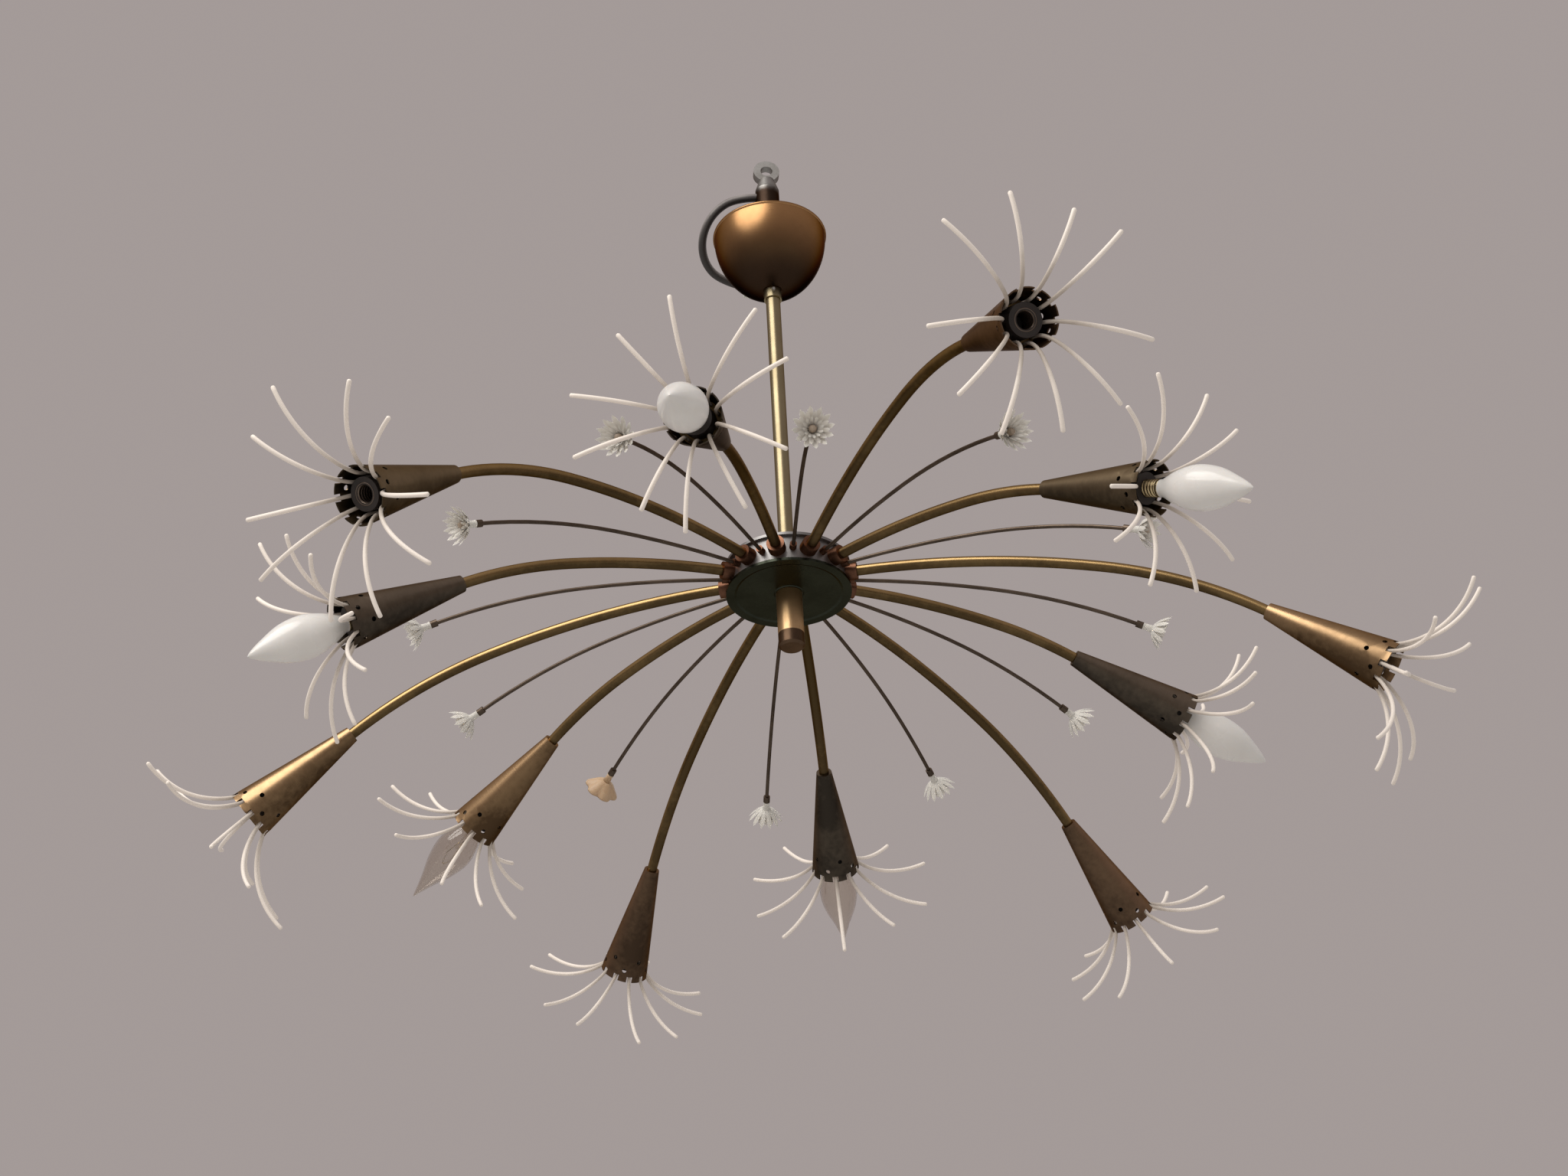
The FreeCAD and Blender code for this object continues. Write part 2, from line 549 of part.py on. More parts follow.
def make_arms():
    """The twelve bent tubes, each with a lead inside."""
    leads = []
    for arm in ARMS:
        spine, _ = arm_spine(arm, size("arm_root"))
        spine.straight(ARM_END)
        tube = spine.rod(size("arm_radius")).cut(spine.rod(size("arm_bore_radius")))
        shape_node(f"arm_{arm:02d}", tube, hub_frame(arm_degrees(arm)))
        lead, _ = arm_spine(arm, size("arm_wire_root"))
        lead.straight(ARM_END + FREE)
        leads.append(at(lead.rod(size("arm_wire_radius")), hub_frame(arm_degrees(arm))))
    shape_node("arm_leads", Part.makeCompound(leads))


def make_arm_fixings():
    """A saddle collar outside the drum and a locknut inside it on every arm, and a collar on every rod."""
    drum = Part.makeCylinder(size("drum_radius"), size("drum_height"), V(0, 0, -size("drum_height") / 2))
    along = FreeCAD.Placement(V(DRUM_BORE, 0, 0), FreeCAD.Rotation(ACROSS, 90))
    arm_sleeve = at(ring(size("arm_collar_radius"), size("arm_radius") + SLIP, 0,
                         size("drum_wall") + size("arm_collar_length")), along).cut(drum)
    rod_sleeve = at(ring(size("rod_collar_radius"), size("rod_radius") + SLIP, 0,
                         size("drum_wall") + size("rod_collar_length")), along).cut(drum)
    corner = size("arm_nut_across_flats") / math.sqrt(3)
    nut_face = math.sqrt(DRUM_BORE ** 2 - corner ** 2) - SLIP
    seat = FreeCAD.Placement(V(nut_face - size("arm_nut_length"), 0, 0), FreeCAD.Rotation(ACROSS, 90))
    nut = at(hexagon(size("arm_nut_across_flats"), size("arm_radius") + SLIP, size("arm_nut_length")), seat)
    arm_frames = [hub_frame(arm_degrees(arm)) for arm in ARMS]
    rod_frames = [hub_frame(rod_degrees(rod)) for rod in ARMS]
    shape_node("arm_collars", Part.makeCompound([at(arm_sleeve, frame) for frame in arm_frames]))
    shape_node("arm_locknuts", Part.makeCompound([at(nut, frame) for frame in arm_frames]))
    shape_node("rod_collars", Part.makeCompound([at(rod_sleeve, frame) for frame in rod_frames]))


# ---------------------------------------------------------------- cups and lampholders
def cup_outer(height):
    """The outer radius of a cup at a height above its neck."""
    grow = size("cup_mouth_radius") - size("cup_neck_radius")
    return size("cup_neck_radius") + grow * height / size("cup_length")


def cup_shape():
    """A slim cone with a notched rim and two staggered rows of vents."""
    length = size("cup_length")
    wall = size("cup_wall")
    floor = size("cup_end_wall")
    bore = size("arm_radius") + SLIP
    cone = turned([(bore, 0), (size("cup_neck_radius"), 0), (size("cup_mouth_radius"), length),
                   (size("cup_mouth_radius") - wall, length), (cup_outer(floor) - wall, floor), (bore, floor)])
    notch = Part.makeBox(size("cup_mouth_radius"), size("notch_width"), 2 * size("notch_depth"))
    notch.translate(V(size("cup_mouth_radius") / 2, -size("notch_width") / 2, length - size("notch_depth")))
    cutters = around(notch, size("notch_count"))
    pitch = 360 / size("vent_count")
    for row, depth in enumerate((size("vent_row_near"), size("vent_row_far"))):
        vent = Part.makeCylinder(size("vent_radius"), size("cup_mouth_radius"),
                                 V(size("cup_mouth_radius") / 2, 0, length - depth), OUTWARD)
        cutters += around(vent, size("vent_count"), pitch / 4 + row * pitch / 2)
    return cone.cut(Part.makeCompound(cutters))


def holder_shape():
    """The lampholder: a round body with a screw socket above and an entry for the arm below."""
    socket = size("cap_radius") + size("cap_clearance")
    entry = size("arm_radius") + SLIP
    shoulder = HOLDER_FOOT + size("holder_base_length")
    return turned([(entry, HOLDER_FOOT), (size("holder_base_radius"), HOLDER_FOOT),
                   (size("holder_base_radius"), shoulder), (size("holder_radius"), shoulder + size("holder_taper")),
                   (size("holder_radius"), HOLDER_MOUTH), (socket, HOLDER_MOUTH), (socket, SOCKET_FLOOR),
                   (size("contact_radius"), SOCKET_FLOOR), (size("contact_radius"), CONTACT_FOOT),
                   (0, CONTACT_FOOT), (0, HOLDER_FOOT + size("holder_entry_depth")),
                   (entry, HOLDER_FOOT + size("holder_entry_depth"))])


def stamen_circle_pins(radius, low, high):
    """Upright pins at the stamens' places."""
    pin = Part.makeCylinder(radius, high - low, V(size("stamen_circle"), 0, low))
    return around(pin, size("stamen_count"))


RING_TOP = size("cup_length") - size("stamen_ring_depth")
RING_FOOT = RING_TOP - size("stamen_ring_height")


def stamen_ring_shape():
    """The ring between the lampholder and the cup that the stamens stand in."""
    outer = cup_outer(RING_FOOT) - size("cup_wall") - SLIP
    plain = ring(outer, size("holder_radius") + SLIP, RING_FOOT, RING_TOP)
    holes = stamen_circle_pins(size("stamen_radius") + SLIP / 5, RING_FOOT, RING_TOP)
    return plain.cut(Part.makeCompound(holes))


def stamen_shapes(arm):
    """The stamens of one cup, each with a lean, a sway and a flare of its own."""
    sways = STAMEN_SWAY.get(arm, [USUAL_SWAY * math.sin(2.9 * index + 1.7 * arm) for index in range(ARMS[-1])])
    shapes = []
    for index in range(int(size("stamen_count"))):
        across = FreeCAD.Rotation(UP, sways[index % len(sways)]).multVec(ACROSS)
        lean = STAMEN_LEAN.get(arm, USUAL_LEAN) + LEAN_SPREAD * math.sin(2.4 * index + arm)
        turn = size("stamen_turn") + EXTRA_TURN.get(arm, 0) + FLARE_SPREAD * math.cos(1.7 * index + arm)
        spine = Spine(V(size("stamen_circle"), 0, RING_FOOT), UP)
        spine.straight(size("stamen_ring_height") + size("stamen_straight"))
        spine.bend(size("stamen_bend_radius"), lean, across)
        spine.bend(size("stamen_flare_radius"), turn - lean, across)
        wire = spine.rod(size("stamen_radius"))
        wire.rotate(V(0, 0, 0), UP, 360 * index / size("stamen_count"))
        shapes.append(wire)
    return shapes


def make_cups():
    """Cups with their nuts, lampholders, contacts, stamen rings and stamens."""
    cup = cup_shape()
    nut = ring(size("cup_nut_radius"), size("arm_radius") + SLIP, size("cup_end_wall"),
               size("cup_end_wall") + size("cup_nut_height"))
    contact = Part.makeCylinder(size("contact_radius") - SLIP, size("contact_height"), V(0, 0, CONTACT_FOOT))
    holder = Part.makeCompound([holder_shape(), contact])
    group = {"cup_nuts": nut, "lampholders": holder, "stamen_rings": stamen_ring_shape()}
    frames = {}
    for arm in ARMS:
        roll = FreeCAD.Placement(V(0, 0, 0), FreeCAD.Rotation(UP, CUP_ROLL.get(arm, 0)))
        frames[arm] = cup_frame(arm).multiply(roll)
        shape_node(f"cup_{arm:02d}", cup.copy(), frames[arm])
    for label, master in group.items():
        shape_node(label, Part.makeCompound([at(master, frames[arm]) for arm in ARMS]))
    for label, odd in (("stamens_long", 1), ("stamens_short", 0)):
        wires = [at(wire, frames[arm]) for arm in ARMS if arm % 2 == odd for wire in stamen_shapes(arm)]
        shape_node(label, Part.makeCompound(wires))


# ---------------------------------------------------------------- bulbs
CAP_FOOT = SOCKET_FLOOR + SLIP
CAP_TOP = CAP_FOOT + size("cap_length")
CANDLE = ((0, 0.0), (0.05, 0.08), (0.2, 0.62), (0.4, 1.0), (0.62, 0.9), (0.82, 0.52), (0.95, 0.2), (1, 0.0))
FLAME = ((0, 0.0), (0.05, 0.08), (0.18, 0.66), (0.36, 1.0), (0.56, 0.82), (0.76, 0.42), (0.93, 0.13), (1, 0.0))


def glass_curve(shares, widest, tip, neck):
    """The envelope's outline as one smooth curve from its neck to its tip."""
    points = []
    for height, width in shares:
        radius = neck + (widest - neck) * width if height < 0.3 else widest * width
        points.append(V(radius, 0, CAP_TOP + (tip - CAP_TOP) * height))
    curve = Part.BSplineCurve()
    curve.interpolate(points)
    return curve.toShape(), points[0]


def glass_shape(shares, length):
    """A thin glass envelope that stands on the cap, open at its neck."""
    wall = size("bulb_wall")
    tip = CAP_FOOT + length
    outer, outer_neck = glass_curve(shares, size("bulb_radius"), tip, size("bulb_neck_radius"))
    inner, inner_neck = glass_curve(shares, size("bulb_radius") - wall, tip - wall,
                                    size("bulb_neck_radius") - wall)
    axis = Part.makeLine(V(0, 0, tip), V(0, 0, tip - wall))
    seat = Part.makeLine(outer_neck, inner_neck)
    outline = Part.Wire(Part.__sortEdges__([outer, axis, inner, seat]))
    return Part.Face(outline).revolve(V(0, 0, 0), UP, 360)


def cap_shape():
    """The screw cap with its centre button."""
    button = size("cap_button_radius")
    shoulder = CAP_FOOT + size("cap_button_height")
    return turned([(0, CAP_FOOT), (button, CAP_FOOT), (size("cap_radius"), shoulder), (size("cap_radius"), CAP_TOP),
                   (0, CAP_TOP)])


def make_bulbs():
    """Six bulbs in the short arms' cups: four opal candles and two clear flames with a filament post."""
    cap = cap_shape()
    opal = Part.makeCompound([cap, glass_shape(CANDLE, size("candle_length"))])
    post = Part.makeCylinder(size("filament_radius"), size("filament_height"), V(0, 0, CAP_TOP))
    clear = Part.makeCompound([cap, glass_shape(FLAME, size("flame_length")), post])
    for arm in LAMPS:
        out = FreeCAD.Placement(V(0, 0, BULB_OUT.get(arm, 0)), FreeCAD.Rotation())
        bulb = clear if arm in CLEAR_BULBS else opal
        shape_node(f"bulb_{arm:02d}", bulb.copy(), cup_frame(arm).multiply(out))


# ---------------------------------------------------------------- rods and florets
def bowl_shape(radius):
    """A shallow flaring bowl on a foot, bored for the rod's nose."""
    wall = size("floret_wall")
    foot = size("floret_foot_length")
    depth = size("floret_depth")
    bore = size("rod_radius") + SLIP
    throat = size("floret_foot_radius")
    waist = size("floret_waist_radius_share") * radius
    rise = size("floret_waist_height_share") * depth
    return turned([(bore, 0), (throat, 0), (throat, foot - wall), (waist, rise + foot - wall),
                   (radius, depth + foot - wall), (radius - wall / 2, depth + foot),
                   (waist - wall / 2, rise + foot), (throat, foot), (bore, foot)])


def star_floret():
    """A glass star: the bowl cut to pointed petals."""
    count = int(size("floret_points"))
    corners = []
    for index in range(2 * count + 1):
        radius = size("floret_radius") if index % 2 == 0 else size("floret_valley_radius")
        angle = math.pi * index / count
        corners.append(V(radius * math.cos(angle), radius * math.sin(angle), 0))
    star = Part.Face(Part.makePolygon(corners)).extrude(UP * (size("floret_depth") + size("floret_foot_length")))
    return bowl_shape(size("floret_radius")).common(star)


def lobed_floret():
    """A rounder floret with broad lobes."""
    height = size("floret_depth") + size("floret_foot_length")
    circle = size("lobed_radius") - size("lobe_radius")
    lobe = Part.makeCylinder(size("lobe_radius"), height, V(circle, 0, 0))
    blank = Part.makeCylinder(circle, height).multiFuse(around(lobe, size("lobe_count")))
    return bowl_shape(size("lobed_radius")).common(blank)


def make_rods():
    """The twelve wire rods with their end ferrules, florets and beads."""
    section = size("rod_radius")
    ferrule = ring(size("rod_ferrule_radius"), section + SLIP / 2, -size("rod_ferrule_length"), 0)
    nose = size("rod_nose")
    bead_foot = size("floret_foot_length")
    bead_top = bead_foot + size("bead_length")
    bevel = size("bead_bevel")
    shoulder = bead_top + size("bead_nose")
    bead = turned([(section + SLIP / 2, bead_foot), (size("bead_radius"), bead_foot + bevel),
                   (size("bead_radius"), bead_top - bevel), (size("bead_radius") - bevel, shoulder),
                   (0, shoulder + size("bead_tip")), (0, nose + SLIP), (section + SLIP / 2, nose + SLIP)])
    star = star_floret()
    lobed = lobed_floret()
    rods, ferrules, florets, beads = [], [], [], []
    for rod in ARMS:
        spine, across = sagging_spine(size("rod_root"), "rod", ROD_LIFT.get(rod, 0), ROD_SWING.get(rod, 0))
        facing = FreeCAD.Rotation(across.cross(spine.heading), across, spine.heading, "ZXY")
        tip = hub_frame(rod_degrees(rod)).multiply(FreeCAD.Placement(spine.point, facing))
        spine.straight(nose)
        rods.append(at(spine.rod(section), hub_frame(rod_degrees(rod))))
        ferrules.append(at(ferrule, tip))
        florets.append(at(lobed if rod == LOBED_FLORET else star, tip))
        beads.append(at(bead, tip))
    shape_node("rods", Part.makeCompound(rods))
    shape_node("rod_ferrules", Part.makeCompound(ferrules))
    shape_node("florets", Part.makeCompound(florets))
    shape_node("floret_beads", Part.makeCompound(beads))


# ---------------------------------------------------------------- supply cable
def make_cable():
    """The supply cable as runs and tangent arcs, and the connector block on its free end."""
    route = [V(-size("cable_start"), 0, -size("cable_hole_drop"))] + CABLE_ROUTE
    runs = [route[index + 1] - route[index] for index in range(len(route) - 1)]
    headings = [V(run).normalize() for run in runs]
    spine = Spine(route[0], headings[0])
    used = 0.0
    radii = []
    for index, heading in enumerate(headings[:-1]):
        turn = heading.getAngle(headings[index + 1])
        share = RUN_SHARE * min(runs[index].Length, runs[index + 1].Length)
        radii.append(share / math.tan(turn / 2))
        spine.straight(runs[index].Length - used - share)
        spine.head_for(headings[index + 1], radii[-1])
        used = share
    spine.straight(runs[-1].Length - used)
    cable = spine.rod(size("cable_radius"))
    print("cable arc radii, mm:", [round(radius, 1) for radius in radii])
    print("cable length, mm:", round(spine.length, 1))
    print("cable volume over section times length:",
          round(cable.Volume / (math.pi * size("cable_radius") ** 2 * spine.length), 5))
    shape_node("supply_cable", cable)
    block = Part.makeBox(size("block_width"), size("block_height"), size("block_length"))
    block.translate(V(-size("block_width") / 2, -size("block_height") / 2, 0))
    for side in (-1, 0, 1):
        hole = Part.makeCylinder(size("block_hole_radius"), size("block_length") / 2,
                                 V(side * size("block_width") / 3, 0, size("block_length") / 2))
        block = block.cut(hole)
    facing = FreeCAD.Rotation(UP, headings[-1])
    shape_node("cable_block", block, FreeCAD.Placement(route[-1], facing))


make_hanging_eye()
make_eye_locknut()
make_stem()
make_stem_collar()
make_tie_rod()
make_stem_cores()
make_canopy()
make_canopy_collar()
make_plate("HubTopPlate", "hub_top_plate", -1, STEM_FOOT)
make_plate("HubBottomPlate", "hub_bottom_plate", 1, HUB_FOOT)
make_drum()
make_connectors()
make_finial()
make_arms()
make_arm_fixings()
make_cups()
make_bulbs()
make_rods()
make_cable()
DOC.recompute()

# ---------------------------------------------------------------- checks and files
for item in DOC.Objects:
    if "Invalid" in item.State or "Error" in item.State:
        raise RuntimeError(f"{item.Name} did not compute: {item.State}")
os.makedirs("parts", exist_ok=True)
for item in NODES:
    if item.Shape.isNull() or not item.Shape.isValid():
        raise RuntimeError(f"{item.Label} has no valid shape")
    item.Shape.exportStep(f"parts/{item.Label}.step")
print(len(NODES), "sub-parts written")
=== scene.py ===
"""Looks of a sputnik chandelier: brass arms with notched flower cups, wire stamens, bulbs and florets."""

import json
import logging
import math
from collections.abc import Sequence
from dataclasses import dataclass
from enum import Enum
from typing import Any, Optional

import bmesh
import bpy
from mathutils import Matrix, Vector

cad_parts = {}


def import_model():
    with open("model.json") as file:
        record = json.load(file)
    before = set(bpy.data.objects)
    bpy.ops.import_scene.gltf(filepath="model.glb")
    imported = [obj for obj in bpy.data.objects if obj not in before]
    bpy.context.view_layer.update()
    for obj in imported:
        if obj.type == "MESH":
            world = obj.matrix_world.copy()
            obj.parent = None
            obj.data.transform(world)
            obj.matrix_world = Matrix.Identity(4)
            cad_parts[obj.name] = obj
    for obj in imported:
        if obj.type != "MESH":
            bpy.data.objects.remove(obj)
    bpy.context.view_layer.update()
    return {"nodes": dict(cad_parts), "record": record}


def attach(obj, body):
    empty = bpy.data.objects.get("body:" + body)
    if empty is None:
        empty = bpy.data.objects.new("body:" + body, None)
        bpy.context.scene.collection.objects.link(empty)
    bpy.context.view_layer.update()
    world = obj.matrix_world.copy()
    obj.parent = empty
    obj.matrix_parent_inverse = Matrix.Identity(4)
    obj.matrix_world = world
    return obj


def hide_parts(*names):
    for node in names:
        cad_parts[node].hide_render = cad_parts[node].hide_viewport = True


LOG = logging.getLogger("chandelier")
Triple = tuple[float, float, float]
Colour = Triple
Outline = Sequence[tuple[float, float]]
Ray = tuple[Vector, Vector]
Shape = bmesh.types.BMesh
Material = bpy.types.Material
MM = 0.001
TOUCHING = 0.0001 * MM


# ---------------- shader expressions
class Socket:
    """An output socket that reads as a value in an expression: each operator adds its Math node."""

    def __init__(self, shader: "Shader", link: bpy.types.NodeSocket) -> None:
        """Wraps one output of a node of the shader."""
        self.shader = shader
        self.link = link

    def _math(self, operation: str, *values: Any) -> "Socket":
        """The result of a new Math node on these numbers and sockets."""
        return self.shader.node("ShaderNodeMath", {"operation": operation}, dict(enumerate(values)))

    def __add__(self, other: Any) -> "Socket":
        """This plus other."""
        return self._math("ADD", self, other)

    def __radd__(self, other: Any) -> "Socket":
        """Other plus this."""
        return self._math("ADD", other, self)

    def __sub__(self, other: Any) -> "Socket":
        """This less other."""
        return self._math("SUBTRACT", self, other)

    def __rsub__(self, other: Any) -> "Socket":
        """Other less this."""
        return self._math("SUBTRACT", other, self)

    def __mul__(self, other: Any) -> "Socket":
        """This times other."""
        return self._math("MULTIPLY", self, other)

    def __rmul__(self, other: Any) -> "Socket":
        """Other times this."""
        return self._math("MULTIPLY", other, self)

    def clamp(self) -> "Socket":
        """This held between 0 and 1."""
        return self.shader.node("ShaderNodeClamp", {}, {0: self})

    def step(self, low: float, high: float) -> "Socket":
        """A smooth step from 0 at low to 1 at high."""
        return self.shader.node("ShaderNodeMapRange", {"interpolation_type": "SMOOTHSTEP"},
                                {"Value": self, "From Min": low, "From Max": high})


class Shader:
    """A material with one Principled shader and the expressions that feed it."""

    DOWN_EDGES = (-0.3, 0.85)
    LAYER_STRENGTH = 0.55

    def __init__(self, name: str) -> None:
        """Makes the material and its shader.

        Args:
            name: the material's name.
        """
        self.material = bpy.data.materials.new(name)
        self.material.use_nodes = True
        self.tree = self.material.node_tree
        self.surface = self.tree.nodes["Principled BSDF"]

    def node(self, kind: str, settings: dict[str, Any], values: dict[Any, Any], output: Any = 0) -> Socket:
        """Adds any node.

        Args:
            kind: the node's type.
            settings: the node's own properties, set first.
            values: numbers, colours or sockets for its inputs, by name or index.
            output: the output wanted, by name or index.

        Returns:
            That output.
        """
        made = self.tree.nodes.new(kind)
        for key, value in settings.items():
            setattr(made, key, value)
        for key, value in values.items():
            self.feed(made.inputs[key], value)
        return Socket(self, made.outputs[output])

    def feed(self, socket: bpy.types.NodeSocket, value: Any) -> None:
        """Sets an input to a number or colour, or links it to a socket.

        Args:
            socket: the input.
            value: the number, colour or socket that it takes.
        """
        if isinstance(value, Socket):
            self.tree.links.new(value.link, socket)
        elif isinstance(value, (int, float)) or len(socket.default_value) == len(value):
            socket.default_value = value
        else:
            socket.default_value = (*value, 1.0)

    def set(self, **values: Any) -> None:
        """Sets the surface's inputs, with underscores for the spaces in their names."""
        for name, value in values.items():
            self.feed(self.surface.inputs[name.replace("_", " ").title().replace("Ior", "IOR")], value)

    def place(self) -> Socket:
        """The point on the surface in the object's own frame, in metres."""
        return self.node("ShaderNodeTexCoord", {}, {}, "Object")

    def vector_math(self, operation: str, first: Any, second: Any, output: Any = 0) -> Socket:
        """The result of a new Vector Math node on two vectors."""
        return self.node("ShaderNodeVectorMath", {"operation": operation}, {0: first, 1: second}, output)

    def stretched(self, scale: Sequence[float]) -> Socket:
        """The point on the surface, stretched by a factor along X, Y and Z."""
        return self.vector_math("MULTIPLY", self.place(), tuple(scale))

    def along(self, start: Vector, axis: Vector) -> Socket:
        """The distance in metres from a point, along an axis of length 1."""
        reach = self.vector_math("SUBTRACT", self.place(), tuple(start))
        return self.vector_math("DOT_PRODUCT", reach, tuple(axis), "Value")

    def facing_down(self) -> Socket:
        """How far the surface faces down, from 0 at its top and sides to 1 underneath."""
        normal = self.node("ShaderNodeNewGeometry", {}, {}, "Normal")
        return (0 - self.node("ShaderNodeSeparateXYZ", {}, {0: normal}, "Z")).step(*self.DOWN_EDGES)

    def noise(self, where: Socket, scale: float, detail: float = 3.0) -> Socket:
        """Smooth noise from 0 to 1, with its features per metre and how many finer layers are added."""
        return self.node("ShaderNodeTexNoise", {}, {"Vector": where, "Scale": scale, "Detail": detail,
                                                    "Roughness": self.LAYER_STRENGTH})

    def lines(self, distance: Socket, scale: float) -> Socket:
        """Turning lines: noise from 0 to 1 that changes only with the distance, with its lines per metre."""
        return self.node("ShaderNodeTexNoise", {"noise_dimensions": "1D"},
                         {"W": distance, "Scale": scale, "Detail": 2.0})

    def mix(self, first: Any, second: Any, share: Any) -> Socket:
        """A blend of two colours, by how much of the second shows."""
        return self.node("ShaderNodeMix", {"data_type": "RGBA"}, {0: share, 6: first, 7: second}, 2)

    def bump(self, height: Socket, distance: float, strength: float) -> Socket:
        """The normal of a relief from 0 to 1, with its depth in metres and how much of it shows."""
        return self.node("ShaderNodeBump", {}, {"Height": height, "Distance": distance, "Strength": strength})


class Grain(Enum):
    """Which way a metal's polishing lines run."""

    NONE = "none"
    LENGTHWISE = "lengthwise"
    TURNED = "turned"


@dataclass(frozen=True)
class Metal:
    """A worn metal: clean colour, tarnish in patches, painted shade on its downward faces, polishing lines
    and grain.
    """

    name: str
    clean: Colour
    tarnish_and_shade_colour: Colour
    roughness: float
    tarnish: float
    patch: float
    grain: Grain = Grain.NONE
    grain_depth: float = 0.12
    line_scale: float = 1400.0
    # How far the downward faces darken towards the tarnish colour: painted shade.
    underside_shade: float = 0.0
    foot: Optional[Colour] = None
    foot_from: float = 0.0
    foot_to: float = 0.0
    # The colour of the reflection at grazing angles; the canopy's dark one is painted shade on its edges.
    edge: Colour = (0.45, 0.38, 0.33)

    SPECKS_PER_PATCH = 14
    SPECK_SHARE = 0.25
    PATCH_EDGES = (0.32, 0.72)
    ALONG_Z = (1.0, 1.0, 0.02)
    TARNISH_DULLS = 0.16
    RUB = 0.5
    FOOT_WAVER = 0.012
    RELIEF = 0.04 * MM

    def build(self, start: Vector = Vector((0, 0, 0)), axis: Vector = Vector((0, 0, 1))) -> Material:
        """Makes the material.

        Args:
            start: a point on the piece's axis.
            axis: the piece's axis, which turning lines run round.

        Returns:
            The material.
        """
        shader = Shader(self.name)
        place = shader.place()
        patches = shader.noise(place, self.patch, detail=4.0)
        specks = shader.noise(place, self.patch * self.SPECKS_PER_PATCH)
        blotches = patches * (1 - self.SPECK_SHARE) + specks * self.SPECK_SHARE
        tarnish_and_shade_mask = blotches.step(*self.PATCH_EDGES) * self.tarnish
        # Painted shade: the downward faces darken towards the tarnish colour, on top of the real tarnish
        # patches.
        if self.underside_shade:
            tarnish_and_shade_mask = (tarnish_and_shade_mask + shader.facing_down() * self.underside_shade).clamp()
        if self.grain is Grain.TURNED:
            lines = shader.lines(shader.along(start, axis), self.line_scale)
        elif self.grain is Grain.LENGTHWISE:
            lines = shader.noise(shader.stretched(self.ALONG_Z), self.line_scale, detail=2.0)
        else:
            lines = shader.noise(place, self.line_scale / 2, detail=2.0)
        rubbed = tuple(min(1.0, part * 1.2 + 0.01) for part in self.clean)
        tone = shader.mix(self.clean, self.tarnish_and_shade_colour, tarnish_and_shade_mask)
        worn = shader.mix(tone, rubbed, (lines - 0.5).clamp() * self.RUB * (1 - tarnish_and_shade_mask))
        # Darker below a given depth, towards the foot; on the canopy this is painted shade.
        if self.foot:
            depth = 0 - shader.along(Vector((0, 0, 0)), Vector((0, 0, 1))) + patches * self.FOOT_WAVER
            worn = shader.mix(worn, self.foot, depth.step(self.foot_from, self.foot_to))
        shine = tarnish_and_shade_mask * self.TARNISH_DULLS + lines * self.grain_depth + (self.roughness - self.grain_depth / 2)
        shader.set(base_color=worn, metallic=1.0, specular_tint=self.edge, roughness=shine,
                   normal=shader.bump(lines * 0.6 + specks * 0.4, self.RELIEF, strength=0.25))
        return shader.material


@dataclass(frozen=True)
class Plastic:
    """A moulded or painted surface with faint mottling and, where given, painted shade on its downward faces.
    """

    name: str
    colour: Colour
    shade: Colour
    roughness: float
    underside_shade: Optional[Colour] = None

    MOTTLE, GRAIN = 45.0, 500.0
    SHADE_EDGES = (0.35, 0.75)
    MOTTLE_DULLS = 0.12
    RELIEF = 0.04 * MM

    def build(self) -> Material:
        """Makes the material.

        Returns:
            The material.
        """
        shader = Shader(self.name)
        mottle = shader.noise(shader.place(), self.MOTTLE, detail=4.0)
        fine = shader.noise(shader.place(), self.GRAIN, detail=2.0)
        tone = shader.mix(self.colour, self.shade, mottle.step(*self.SHADE_EDGES))
        # Painted shade: the downward faces darken.
        if self.underside_shade:
            tone = shader.mix(tone, self.underside_shade, shader.facing_down())
        shine = mottle * self.MOTTLE_DULLS + (self.roughness - self.MOTTLE_DULLS / 2)
        shader.set(base_color=tone, roughness=shine, normal=shader.bump(fine, self.RELIEF, strength=0.3))
        return shader.material


@dataclass(frozen=True)
class Sleeve:
    """The stamens' finish: greyish and thin in the cup, white towards the tip."""

    name: str = "stamen_sleeve"
    root: Colour = (0.50, 0.43, 0.37)
    tip: Colour = (0.94, 0.84, 0.76)
    waver: float = 0.14
    roughness: float = 0.45

    WHITE_EDGES = (0.18, 0.62)

    def build(self) -> Material:
        """Makes the material, which reads how far along its wire each point lies.

        Returns:
            The material.
        """
        shader = Shader(self.name)
        share = shader.node("ShaderNodeAttribute", {"attribute_name": "along"}, {}, "Fac")
        mottle = shader.noise(shader.place(), 160.0)
        whiteness = (share + mottle * self.waver - self.waver / 2).step(*self.WHITE_EDGES)
        shader.set(base_color=shader.mix(self.root, self.tip, whiteness),
                   roughness=mottle * 0.1 + self.roughness,
                   normal=shader.bump(mottle, 0.05 * MM, strength=0.2))
        return shader.material


@dataclass(frozen=True)
class Glass:
    """Clear or tinted glass or acrylic with slight waves, milky where it is so inside."""

    name: str
    colour: Colour
    roughness: float
    body: float = 1.0
    milk: float = 0.0
    milk_depth: float = 4 * MM

    def build(self) -> Material:
        """Makes the material.

        Returns:
            The material.
        """
        shader = Shader(self.name)
        waves = shader.noise(shader.place(), 120.0, detail=2.0)
        dimmed = tuple(part * 0.93 for part in self.colour)
        shader.set(base_color=shader.mix(self.colour, dimmed, waves), roughness=waves * 0.04 + self.roughness,
                   transmission_weight=self.body, subsurface_weight=self.milk,
                   subsurface_radius=(self.milk_depth,) * 3, ior=1.48,
                   normal=shader.bump(waves, 0.1 * MM, strength=0.4))
        return shader.material


